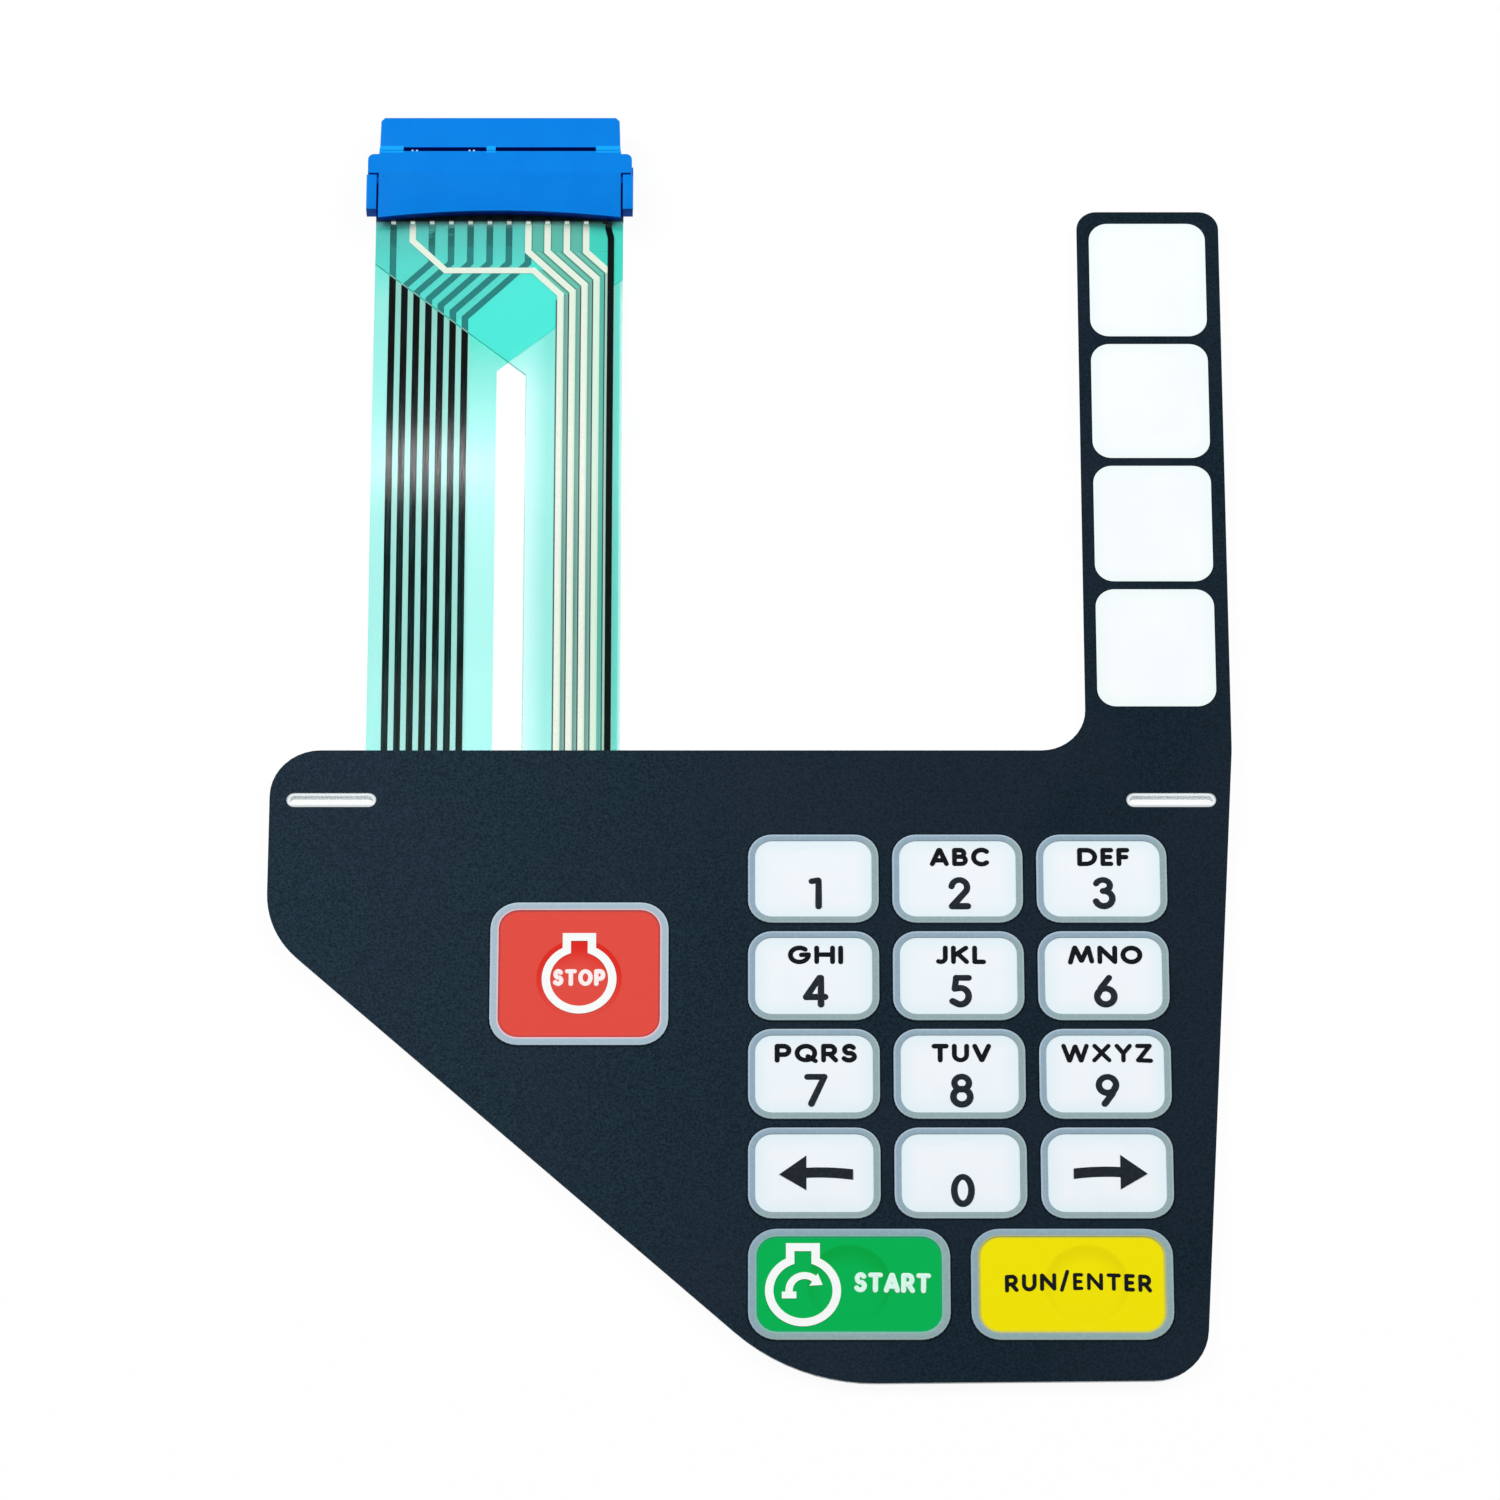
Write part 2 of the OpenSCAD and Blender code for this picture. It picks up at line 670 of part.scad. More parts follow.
module overlay_adhesive() {
    color([0.75, 0.74, 0.62]) place() translate([0, 0, top_adhesive_z])
        linear_extrude(top_adhesive_t) difference() {
            layer_shape();
            dome_holes(dome_d + 2 * dome_clear);
        }
}

module dome_spacer() {
    color([0.86, 0.88, 0.88]) place() translate([0, 0, dome_z])
        linear_extrude(dome_spacer_t) difference() {
            layer_shape();
            dome_holes(dome_d + 2 * dome_clear);
        }
}

// Round snap dome: a thin bowl of sheet steel, upside down
function bowl(d, h) =
    let (r = (d * d / 4 + h * h) / (2 * h), steps = 6, edge = asin(d / 2 / r))
    [for (i = [0:steps]) let (a = edge * (1 - i / steps))
        [i == steps ? 0 : r * sin(a), r * cos(a) - r + h]];
module snap_dome() {
    rotate_extrude() polygon(concat(bowl(dome_d, dome_rise),
        reversed(bowl(dome_d - 0.8, dome_rise - dome_t))));
}

module snap_domes() {
    color([0.78, 0.78, 0.76]) place()
        for (at = domes) translate([at[0], at[1], dome_z]) snap_dome();
}

module upper_circuit_film() {
    color([0.6, 0.9, 0.86]) place() {
        layer(upper_film_z, film_t);
        along_tail(upper_film_z, upper_film_entry, film_t) difference() {
            polygon(upper_tail);
            tine_slits();
        }
    }
}

module contact_discs(at) {
    for (p = at) translate(p) circle(d = contact_d);
}

module silver_tracks() {
    color([0.9, 0.92, 0.88]) place() {
        along_tail(upper_track_z, upper_track_entry, track_t) difference() {
            union() {
                polygon(band(first_silver, silver_w));
                for (i = [1:silver_tracks - 1]) polygon(band(silver_tail(i), silver_w));
            }
            tine_slits();
        }
        translate([0, 0, upper_track_z]) linear_extrude(track_t) {
            polygon(band(stop_path, silver_w));
            polygon(band(soft_path, silver_w));
            for (c = [0:cols - 1]) polygon(band(column_path(c), silver_w));
            contact_discs(domes);
        }
    }
}

module carbon_edge_track() {
    color([0.08, 0.1, 0.1]) place() {
        along_tail(edge_track_z, edge_track_entry, track_t) difference() {
            polygon(band(edge_path, silver_w));
            tine_slits();
        }
        translate([0, 0, edge_track_z]) linear_extrude(track_t)
            polygon(band([[edge_x, join_y + 1], [edge_x, edge_run], [strip_x - 8, edge_run]],
                         silver_w));
    }
}

module insulating_coat() {
    color([0.3, 0.8, 0.72]) place() {
        translate([0, 0, coat_z]) linear_extrude(coat_t) difference() {
            layer_shape();
            dome_holes(opening_d);
        }
        along_tail(coat_z, coat_entry, coat_t) difference() {
            polygon(upper_tail);
            tine_slits();
        }
    }
}

vent_w = 1;
module circuit_spacer() {
    color([0.85, 0.86, 0.8]) place() translate([0, 0, spacer_z])
        linear_extrude(spacer_t) difference() {
            layer_shape();
            dome_holes(opening_d);
            for (r = [0:rows - 1])
                translate([col_x(0), row_y(r) - vent_w / 2])
                    square([col_x(cols - 1) - col_x(0), vent_w]);
            translate([soft_x - vent_w / 2, soft_keys[0][1]])
                square([vent_w, soft_pitch * (softkeys - 1)]);
        }
}

module lower_circuit_film() {
    color([0.62, 0.92, 0.88]) place() {
        layer(lower_film_z, film_t);
        along_tail(lower_film_z, entry_z, film_t) difference() {
            polygon(lower_tail);
            tine_slits();
        }
    }
}

module carbon_tracks() {
    color([0.1, 0.13, 0.15]) place() {
        along_tail(lower_track_z, lower_track_entry, track_t) difference() {
            for (i = [0:lower_tracks - 1]) polygon(band(carbon_tail(i), track_w));
            tine_slits();
        }
        translate([0, 0, lower_track_z]) linear_extrude(track_t) {
            polygon(band(guard_path, track_w));
            polygon(band(enter_path, track_w));
            polygon(band(start_path, track_w));
            for (r = [0:rows - 1]) {
                polygon(band(concat(row_start(r), [[col_x(cols - 1), row_y(r)]]), track_w));
                polygon(band(link_path(r), link_w));
            }
            contact_discs(domes);
        }
    }
}

module rear_adhesive() {
    color([0.8, 0.79, 0.7]) place() layer(rear_adhesive_z, rear_adhesive_t);
}

module release_liner() {
    color([0.93, 0.9, 0.8]) place() layer(liner_z, liner_t);
}

// Connector, drawn with its front edge at y = 0 and its middle at x = 0
block_y = 10.5;
hinge_y = 9.83;
ear_y = 6.6;
ear_rear = 9.4;
floor_z = entry_z - 0.3;
cell_w = 2.1;
body_w = (positions - 1) * pitch + cell_w + 2 * end_wall;
ear_w = body_w + 2 * ear_reach;
cell_z = 0.8;
cell_h = 2.05;
cell_front = 6;
rear_wall = 0.8;
entry_w = 1.2;
mouth_w = 1.6;
mouth_depth = 0.3;
post_gap = 0.28;
post_x = body_w / 2 + post_gap;
post_w = ear_reach - post_gap + 0.14;
post_y = 1.27;
post_leg_y = 3.2;
post_rear = ear_y - 0.25;
post_z = 1.9;
sill_y = 1.35;
flap_z = flap_top - flap_t;

module block(x0, x1, y0, y1, z0, z1) {
    translate([x0, y0, z0]) cube([x1 - x0, y1 - y0, z1 - z0]);
}

// Base below the films, side walls and the rear block with its cells
module connector_base() {
    half = body_w / 2;
    rear = body_l;
    corner = 0.5;
    narrow = 0.1;
    draft = 0.2;
    difference() {
        union() {
            block(-half, half, 0.2, cell_front, 0, floor_z);
            block(-half, half, cell_front - sliver, block_y + sliver, 0, flap_z - 0.05);
            linear_extrude(body_h) polygon([[narrow - half, block_y], [half - narrow, block_y],
                [half - draft, rear - corner], [half - draft - corner, rear],
                [corner + draft - half, rear], [draft - half, rear - corner]]);
        }
        for (i = [0:positions - 1]) translate([pin_x(i) - tail_x, 0, 0]) {
            block(-cell_w / 2, cell_w / 2, cell_front - 1, rear - rear_wall, cell_z,
                  cell_z + cell_h);
            block(-entry_w / 2, entry_w / 2, rear - rear_wall - 1, rear + 1,
                  cell_z + (cell_h - entry_w) / 2, cell_z + (cell_h + entry_w) / 2);
            block(-mouth_w / 2, mouth_w / 2, rear - mouth_depth, rear + 1,
                  cell_z + (cell_h - mouth_w) / 2, cell_z + (cell_h + mouth_w) / 2);
        }
        block(end_wall - half, half - end_wall, hinge_y, block_y, cell_z + cell_h - sliver, body_h);
    }
}

// One post at the side, which holds an edge of the flap, and the sill that joins it to the base
module latch_post() {
    block(post_x, post_x + post_w, post_y, post_rear, post_z, flap_top - 0.05);
    block(post_x, post_x + post_w, post_leg_y, post_rear, 0, post_z + sliver);
    block(body_w / 2 - 1, post_x + post_w, post_leg_y, ear_rear - 0.6, 0, floor_z);
    block(body_w / 2 - 1, tail_w / 2, sill_y, post_leg_y + sliver, 0, floor_z);
}

module flap() {
    arch_r = (body_w * body_w / 4 + flap_arch * flap_arch) / (2 * flap_arch);
    ear_r = 0.8;
    difference() {
        union() {
            block(-body_w / 2, body_w / 2, 0, hinge_y, flap_z, flap_top);
            translate([0, 0, flap_z]) linear_extrude(flap_t) polygon(rounded([
                [-ear_w / 2, ear_y, 0.3], [ear_w / 2, ear_y, 0.3],
                [ear_w / 2, ear_rear, ear_r], [-ear_w / 2, ear_rear, ear_r]]));
            block(-body_w / 2 + 0.6, body_w / 2 - 0.6, 1.7, 2.5, films_top + 0.03, flap_z + sliver);
        }
        translate([0, flap_arch - arch_r, flap_z - 1]) cylinder(r = arch_r, h = flap_t + 2, $fn = 360);
    }
}

// Thin strap that joins the flap to the block and folds when the flap shuts
strap_r = 0.5;
strap_t = 0.25;
module strap(x0, x1) {
    translate([x0, (hinge_y + block_y) / 2, flap_top - strap_r]) rotate([90, 0, 90])
        linear_extrude(x1 - x0) difference() {
            circle(r = strap_r);
            circle(r = strap_r - strap_t);
            translate([-strap_r, -2 * strap_r]) square([2 * strap_r, 2 * strap_r]);
        }
}

module connector_housing() {
    color([0.01, 0.47, 0.87]) place() translate([tail_x, tail_l, 0]) {
        connector_base();
        latch_post();
        mirror([1, 0, 0]) latch_post();
        flap();
        strap(-body_w / 2 + 0.05, -body_w / 2 + 3.2);
        strap(-1.8, -0.6);
        strap(body_w / 2 - 3.3, body_w / 2 - 0.05);
    }
}

// One contact: a box that takes a pin, a flat neck and two rows of curled tines
plate_t = 0.25;
plate_z = entry_z - plate_t - 0.02;
box_w = 1.9;
box_wall = 0.2;
box_front = 6.8;
box_z = cell_z + (cell_h - box_w) / 2;
module tine(y) {
    top = films_top + 0.03;
    translate([tine_w / 2, y, top]) rotate([90, 0, -90]) linear_extrude(tine_w) {
        difference() {
            circle(r = tine_r);
            circle(r = tine_r - tine_t);
            translate([-tine_r, -2 * tine_r]) square([2 * tine_r, 2 * tine_r]);
        }
        translate([tine_r - tine_t, plate_z - top + sliver]) square([tine_t, top - plate_z]);
    }
}

module contact() {
    block(-0.85, 0.85, 0, box_front + sliver, plate_z, plate_z + plate_t);
    for (y = tine_rows) tine(y);
    difference() {
        block(-box_w / 2, box_w / 2, box_front, body_l - rear_wall - 0.1, box_z, box_z + box_w);
        block(box_wall - box_w / 2, box_w / 2 - box_wall, box_front - 1, body_l, box_z + box_wall,
              box_z + box_w - box_wall);
    }
    block(-box_w / 2 + sliver, box_w / 2 - sliver, box_front - 0.6, box_front + 0.5, plate_z,
          plate_z + plate_t);
}

module crimp_contacts() {
    color([0.84, 0.83, 0.78]) place()
        for (i = [0:positions - 1]) translate([pin_x(i), tail_l, 0]) contact();
}

overlay_film();
key_borders();
number_key_faces();
softkey_faces();
stop_key_face();
start_key_face();
enter_key_face();
arrow_legends();
engine_symbols();
overlay_adhesive();
dome_spacer();
snap_domes();
upper_circuit_film();
silver_tracks();
carbon_edge_track();
insulating_coat();
circuit_spacer();
lower_circuit_film();
carbon_tracks();
rear_adhesive();
release_liner();
connector_housing();
crimp_contacts();
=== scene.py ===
import math

import bmesh
import bpy
from mathutils import Matrix, Vector


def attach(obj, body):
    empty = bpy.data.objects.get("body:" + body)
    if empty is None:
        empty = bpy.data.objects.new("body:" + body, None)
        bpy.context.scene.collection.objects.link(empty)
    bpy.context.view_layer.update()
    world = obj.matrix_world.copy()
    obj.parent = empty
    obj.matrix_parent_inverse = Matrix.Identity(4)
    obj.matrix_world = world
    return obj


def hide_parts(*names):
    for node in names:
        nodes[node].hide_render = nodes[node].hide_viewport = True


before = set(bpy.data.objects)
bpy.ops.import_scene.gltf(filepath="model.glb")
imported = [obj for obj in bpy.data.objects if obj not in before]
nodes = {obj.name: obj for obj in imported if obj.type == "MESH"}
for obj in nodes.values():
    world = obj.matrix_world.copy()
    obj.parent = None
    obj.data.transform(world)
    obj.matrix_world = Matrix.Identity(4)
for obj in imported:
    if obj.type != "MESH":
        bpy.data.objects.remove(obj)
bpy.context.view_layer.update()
mm = 0.001
print("frame loaded:", len(nodes), "nodes")


# Shader helpers: sums on sockets are written as Python sums

def colour(r, g, b, a=1.0):  # screen colour 0..255 to Blender's linear one
    def linear(c):
        c = max(0.0, c) / 255
        return c / 12.92 if c <= 0.04045 else ((c + 0.055) / 1.055) ** 2.4
    return (linear(r), linear(g), linear(b), a)


filmAlpha = 0.65  # share of light that a green film stops, at each of its two faces


def overWhite(r, g, b):  # a film's own colour, from how it looks on a white table
    passed = (1 - filmAlpha) ** 2
    return tuple(max(0.0, (c * 0.97 - passed) / (1 - passed)) for c in colour(r, g, b)[:3]) + (1.0,)


class Value:  # one socket that takes part in sums
    def __init__(self, shading, socket):
        self.shading = shading
        self.socket = socket

    def math(self, operation, *others):
        return self.shading.node("ShaderNodeMath", {"operation": operation}, [self, *others])

    def __add__(self, other):
        return self.math("ADD", other)

    def __radd__(self, other):
        return self.math("ADD", other)

    def __sub__(self, other):
        return self.math("SUBTRACT", other)

    def __rsub__(self, other):
        return self.shading.node("ShaderNodeMath", {"operation": "SUBTRACT"}, [other, self])

    def __mul__(self, other):
        return self.math("MULTIPLY", other)

    def __rmul__(self, other):
        return self.math("MULTIPLY", other)

    def rise(self, low, high):  # 0 below low, 1 above high, soft between
        return self.shading.node("ShaderNodeMapRange", {"interpolation_type": "SMOOTHSTEP"},
                                 {"Value": self, "From Min": low, "From Max": high})

    def within(self, low, high, soft):
        return self.rise(low - soft, low + soft) * (1 - self.rise(high - soft, high + soft))

    def wrap(self, low, high):  # repeats every high - low
        return self.math("WRAP", high, low)

    def ramp(self, low, high, stops):  # colours at given places between low and high
        share = self.shading.node("ShaderNodeMapRange", {}, {"Value": self, "From Min": low,
                                                             "From Max": high})
        placed = [((at - low) / (high - low), tint) for at, tint in stops]
        return self.shading.node("ShaderNodeValToRGB", {"stops": placed}, [share])


class Shading:  # the nodes of a material or a world
    def __init__(self, owner):
        owner.use_nodes = True
        self.tree = owner.node_tree

    def node(self, kind, settings, inputs, output=0):
        made = self.tree.nodes.new(kind)
        for name, given in settings.items():
            if name == "stops":
                ramp = made.color_ramp
                while len(ramp.elements) < len(given):
                    ramp.elements.new(1.0)
                for stop, (place, tint) in zip(ramp.elements, given):
                    stop.position, stop.color = place, tint
            else:
                setattr(made, name, given)
        pairs = inputs.items() if isinstance(inputs, dict) else enumerate(inputs)
        for key, given in pairs:
            if isinstance(given, Value):
                self.tree.links.new(given.socket, made.inputs[key])
            else:
                made.inputs[key].default_value = given
        return Value(self, made.outputs[output]) if made.outputs else None


class Finish(Shading):  # one procedural material; x, y and z are the place in mm
    def __init__(self, name, **sockets):
        self.material = bpy.data.materials.new(name)
        super().__init__(self.material)
        self.shader = self.tree.nodes["Principled BSDF"]
        for socket, given in sockets.items():
            self.set(socket, given)
        self.place = self.node("ShaderNodeTexCoord", {}, {}, "Object")
        self.inMm = self.node("ShaderNodeVectorMath", {"operation": "SCALE"},
                              {"Vector": self.place, "Scale": 1 / mm})
        self.x, self.y, self.z = [
            self.node("ShaderNodeSeparateXYZ", {}, {"Vector": self.inMm}, axis) for axis in "XYZ"]

    def set(self, socket, given):
        target = self.shader.inputs[socket.replace("_", " ")]
        if isinstance(given, Value):
            self.tree.links.new(given.socket, target)
        else:
            target.default_value = given

    def mix(self, factor, a, b):
        return self.node("ShaderNodeMix", {"data_type": "RGBA"}, {0: factor, 6: a, 7: b}, 2)

    def noise(self, size, detail=2.0, rough=0.5, stretch=None):  # size of a grain in mm
        place = self.inMm
        if stretch:
            place = self.node("ShaderNodeMapping", {}, {"Vector": place, "Scale": stretch})
        return self.node("ShaderNodeTexNoise", {}, {"Vector": place, "Scale": 1 / size,
                                                    "Detail": detail, "Roughness": rough})

    def bump(self, height, distance, strength=1.0):  # distance in mm
        return self.node("ShaderNodeBump", {}, {"Height": height, "Distance": distance * mm,
                                                "Strength": strength})

    def far(self, x, y):  # distance from a point of the plan
        dx, dy = self.x - x, self.y - y
        return (dx * dx + dy * dy).math("SQRT")

    def past(self, u, v, width, depth, corner):  # distance past a rounded outline
        across = u.math("ABSOLUTE") - (width / 2 - corner)
        along = v.math("ABSOLUTE") - (depth / 2 - corner)
        a, b = across.math("MAXIMUM", 0.0), along.math("MAXIMUM", 0.0)
        inner = across.math("MAXIMUM", along).math("MINIMUM", 0.0)
        return (a * a + b * b).math("SQRT") + inner - corner

    def facing(self, axis):  # how far the surface faces +X, +Y or +Z
        normal = self.node("ShaderNodeNewGeometry", {}, {}, "Normal")
        return self.node("ShaderNodeSeparateXYZ", {}, {"Vector": normal}, axis)

    def sides(self):  # 1 on upright faces
        return 1 - self.facing("Z").math("ABSOLUTE").rise(0.3, 0.7)


# Places on the part, in mm, as the source has them

plan = {
    "columns": [7.897, 26.25, 44.603],
    "rows": [-20.281, -33.644, -47.006, -60.369],
    "columnPitch": 18.353,
    "rowPitch": 13.3625,
    "key": (16.593, 12.1625, 3.05, 0.85),       # width, depth, corner, border
    "wideKey": (25.2, 14.7, 3.6, 1.05),
    "stopKey": (22.6, 19.5, 3.6, 1.05),
    "stopAt": (-21.8, -33.35),
    "startAt": (12.2, -75.2),
    "enterAt": (40.0, -75.2),
    "softkeyX": 52.15,
    "softkeyY": 12.1,
    "softkeyPitch": 17.75,
    "surface": 1.41,                            # heights of the overlay, a key face and a border
    "face": 1.51,
    "top": 1.6,
}
slots = {"low": -10.5, "high": -8.0, "inner": 47.1, "litAbove": -9.925}
tail = {
    "middle": -33.18,
    "root": -2.35,  # y of the panel's edge
    "end": 73.25,   # y of the flap's lip
    "lowerRight": -33.28,
    "lowerFork": 51.55,
    "upperLeft": -29.48,
    "upperFork": 50.75,
    "cutSlope": 0.827,
    "pitch": 2.54,
    "silverPitch": 1.57,
    "lastSilver": -18.76,
    "silverBend": 69.25,
    "silverWidth": 0.84,
    "edgeTrack": -18.48,
    "firstCarbon": -47.15,
    "carbonPitch": 1.6,
}


# Finishes of the panel

def whichKey(f):  # distance past the nearest key's outline, its kind, and its lit side
    u = (f.x - plan["columns"][0]).wrap(-plan["columnPitch"] / 2, plan["columnPitch"] / 2)
    v = (f.y - plan["rows"][0]).wrap(-plan["rowPitch"] / 2, plan["rowPitch"] / 2)
    number = f.past(u, v, *plan["key"][:3])
    stopX, stopY = plan["stopAt"]
    stop = f.past(f.x - stopX, f.y - stopY, *plan["stopKey"][:3])
    startX, startY = plan["startAt"]
    half = (plan["enterAt"][0] - startX) / 2
    wideU, wideV = (f.x - startX).wrap(-half, half), f.y - startY
    wide = f.past(wideU, wideV, *plan["wideKey"][:3])
    isWide = 1 - f.y.rise(-67.2, -67.1)
    isStop = 1 - f.x.rise(-5.1, -5.0)
    edge = number * (1 - isWide) + wide * isWide
    edge = edge * (1 - isStop) + stop * isStop
    upperLeft = (v * 0.082 - u * 0.06) * (1 - isWide) + (wideV * 0.068 - wideU * 0.04) * isWide
    return edge, isStop, isWide, upperLeft.rise(-0.15, 0.15)


def overlayFinish():
    f = Finish("overlay_film", Specular_IOR_Level=0.06)
    fine = f.noise(0.3, 3, 0.75).rise(0.3, 0.7)
    broad = f.noise(22, 2, 0.5).rise(0.35, 0.65)
    # lighter towards the left: a painted pool of light from the left lamp
    left = 1 - f.x.rise(-60, 45)
    dark = f.mix(left, colour(5, 20, 29), colour(11, 28, 38))
    light = f.mix(left, colour(22, 41, 53), colour(38, 58, 71))
    speckled = f.mix(broad * 0.2, f.mix(fine, dark, light), colour(36, 40, 56))
    edge, isStop = whichKey(f)[:2]
    inField = f.x.rise(-0.9, -0.8) * (1 - f.x.rise(53.2, 53.3)) * (1 - f.y.rise(-13.7, -13.6))
    # a dark band just outside each key's outline: painted shade beside the raised border
    rim = edge.within(0.0, 0.22, 0.05) * inField.math("MAXIMUM", isStop)
    f.set("Base Color", f.mix(rim * 0.7, speckled, colour(4, 14, 22)))
    f.set("Roughness", 0.52 + fine * 0.12)
    f.set("Normal", f.bump(f.noise(0.36, 2, 0.6), 0.03, 0.6))
    return f.material


def borderFinish():
    f = Finish("key_border_ink", Roughness=0.5, Specular_IOR_Level=0.15)
    edge, isStop, isWide, lit = whichKey(f)
    # the outer band of each border is painted lighter, a painted highlight on its rounded edge, and
    # its lit side is painted bluer
    outer = edge.rise(-0.26, -0.16)
    middle = f.mix(lit, colour(146, 169, 171), colour(143, 168, 184))
    rim = f.mix(lit, colour(160, 183, 187), colour(168, 189, 206))
    plain = f.mix(outer, middle, rim)
    wideMiddle = f.mix(lit, colour(141, 168, 169), colour(139, 166, 178))
    wideRim = f.mix(lit, colour(152, 175, 177), colour(150, 176, 192))
    wide = f.mix(outer, wideMiddle, wideRim)
    deep = 1 - edge.rise(-0.95, -0.78)
    green = f.x.rise(26.0, 26.2)
    wide = f.mix(deep, wide, f.mix(green, colour(124, 188, 168), colour(184, 184, 122)))
    stop = f.mix(outer, colour(167, 188, 202), colour(180, 200, 212))
    stop = f.mix(deep, stop, colour(232, 196, 205))
    tint = f.mix(isStop, f.mix(isWide, plain, wide), stop)
    grain = f.noise(0.5, 2).rise(0.4, 0.7) * 0.1
    f.set("Base Color", f.mix(grain, tint, colour(205, 215, 220)))
    f.set("Normal", f.bump(f.noise(0.4, 2), 0.01, 0.3))
    return f.material


def whiteFinish():
    f = Finish("white_key_ink", Roughness=0.42, Specular_IOR_Level=0.12)
    edge = whichKey(f)[0]
    cloud = f.noise(6, 2).rise(0.3, 0.7)
    middle = f.mix(cloud, colour(242, 246, 250), colour(239, 246, 250))
    # a little darker and greener towards the border: painted shade of the embossed face
    f.set("Base Color", f.mix(edge.rise(-3.2, -0.9), middle, colour(229, 242, 247)))
    f.set("Normal", f.bump(f.noise(0.35, 2), 0.008, 0.25))
    return f.material


def softkeyFinish():
    f = Finish("softkey_ink", Roughness=0.4, Specular_IOR_Level=0.12)
    cloud = f.noise(9, 2).rise(0.3, 0.7)
    half = plan["softkeyPitch"] / 2
    v = (f.y - plan["softkeyY"]).wrap(-half, half)
    edge = f.past(f.x - plan["softkeyX"], v, 15.4, 16.7, 3.0)
    middle = f.mix(cloud, colour(244, 249, 252), colour(248, 251, 252))
    # a little darker near the edges: painted shade of the embossed face
    f.set("Base Color", f.mix(edge.rise(-2.0, 0.0), middle, colour(240, 248, 248)))
    f.set("Normal", f.bump(f.noise(0.35, 2), 0.008, 0.25))
    return f.material


def domedInk(name, face, rim, shadow, place, radius, drop, sharp):
    f = Finish(name, Roughness=0.45, Specular_IOR_Level=0.05)
    x, y = place
    inside = 1 - f.far(x, y).rise(radius - sharp, radius + sharp)
    lower = 1 - f.far(x, y - drop).rise(radius - drop * 1.4, radius + drop * 0.6)
    crescent = inside * (1 - lower)
    grain = f.noise(0.35, 2).rise(0.3, 0.7) * 0.1
    lively = f.mix(grain, colour(*face), colour(*[c * 0.94 for c in face]))
    edge = whichKey(f)[0].rise(-1.38, -1.22)
    tint = f.mix(edge, f.mix(crescent, lively, colour(*shadow)), colour(*rim))
    f.set("Base Color", tint)
    f.set("Normal", f.bump(f.noise(0.35, 2), 0.008, 0.25))
    return f.material


def printFinish(name, tint, other):
    f = Finish(name, Roughness=0.45, Specular_IOR_Level=0.12)
    f.set("Base Color", f.mix(f.noise(0.5, 2).rise(0.35, 0.75), colour(*tint), colour(*other)))
    f.set("Normal", f.bump(f.noise(0.3, 2), 0.006, 0.25))
    return f.material


# Finishes of the layers, the tail and the connector

def steelFinish():
    f = Finish("dome_steel", Metallic=1.0)
    lines = f.noise(1.0, 3, 0.5, (0.4, 9.0, 1.0))
    f.set("Base Color", f.mix(lines, colour(196, 196, 190), colour(224, 224, 220)))
    f.set("Roughness", 0.26 + lines * 0.16)
    return f.material


def layerFinish(name, tint, rough, grain):
    f = Finish(name, Specular_IOR_Level=0.15)
    speck = f.noise(grain, 3, 0.6)
    flat = f.mix(speck.rise(0.3, 0.7), colour(*tint), colour(*[c * 0.93 for c in tint]))
    inner, lit = slots["inner"], slots["litAbove"]
    ledge = f.y.within(slots["low"], slots["high"], 0.1)
    ledge = ledge * f.x.math("ABSOLUTE").rise(inner - 0.1, inner + 0.1)
    white = f.mix(f.y.rise(lit - 0.075, lit + 0.075), colour(208, 215, 216), colour(242, 247, 250))
    flat = f.mix(ledge, flat, white)
    # side faces near white: the pale cut edges of the layers, lightened further as painted light in
    # the slots
    f.set("Base Color", f.mix(f.sides() * 0.95, flat, colour(252, 254, 255)))
    f.set("Roughness", rough + speck * 0.1)
    f.set("Normal", f.bump(speck, 0.01, 0.3))
    return f.material


def silverRuns(f):  # distance past each silver track, and the three runs of the tracks
    first = tail["lastSilver"] - 4 * tail["silverPitch"]
    half = tail["silverWidth"] / 2
    low = 1 - (f.y - 63.35 - (f.x + 23.47) * 0.618).rise(-0.08, 0.08)
    top = f.y.rise(tail["silverBend"] - 0.08, tail["silverBend"] + 0.08)
    slant = (1 - low) * (1 - top)
    pin = tail["middle"] + 1.5 * tail["pitch"]
    lowPast = (f.x - first - half).math("FLOORED_MODULO", tail["silverPitch"])
    topPast = (f.x - pin - half).math("FLOORED_MODULO", tail["pitch"])
    slantPast = ((f.x + f.y - pin - tail["silverBend"]) * 0.7071 - half).math(
        "FLOORED_MODULO", tail["pitch"] * 0.7071)
    return lowPast * low + topPast * top + slantPast * slant, low, top, slant


def silverFinish():
    f = Finish("silver_track_ink", Roughness=0.5, Specular_IOR_Level=0.12)
    past, low = silverRuns(f)[:2]
    gap = tail["silverPitch"] - tail["silverWidth"]
    right = past.rise(gap + 0.5, gap + 0.84) * low
    grain = f.noise(0.4, 3, 0.6).rise(0.3, 0.7)
    cream = f.mix(grain, colour(236, 242, 228), colour(246, 248, 237))
    cream = f.mix(f.y.rise(35, 65) * 0.6, cream, colour(218, 232, 214))
    cream = f.mix(f.x.rise(-20.95, -20.75) * low * 0.6, cream, colour(206, 238, 216))
    margin = f.x.rise(-19.22, -19.14) * low
    tint = f.mix(margin, f.mix(right, cream, colour(206, 234, 212)), colour(165, 205, 190))
    f.set("Base Color", tint)
    f.set("Normal", f.bump(grain, 0.006, 0.3))
    return f.material


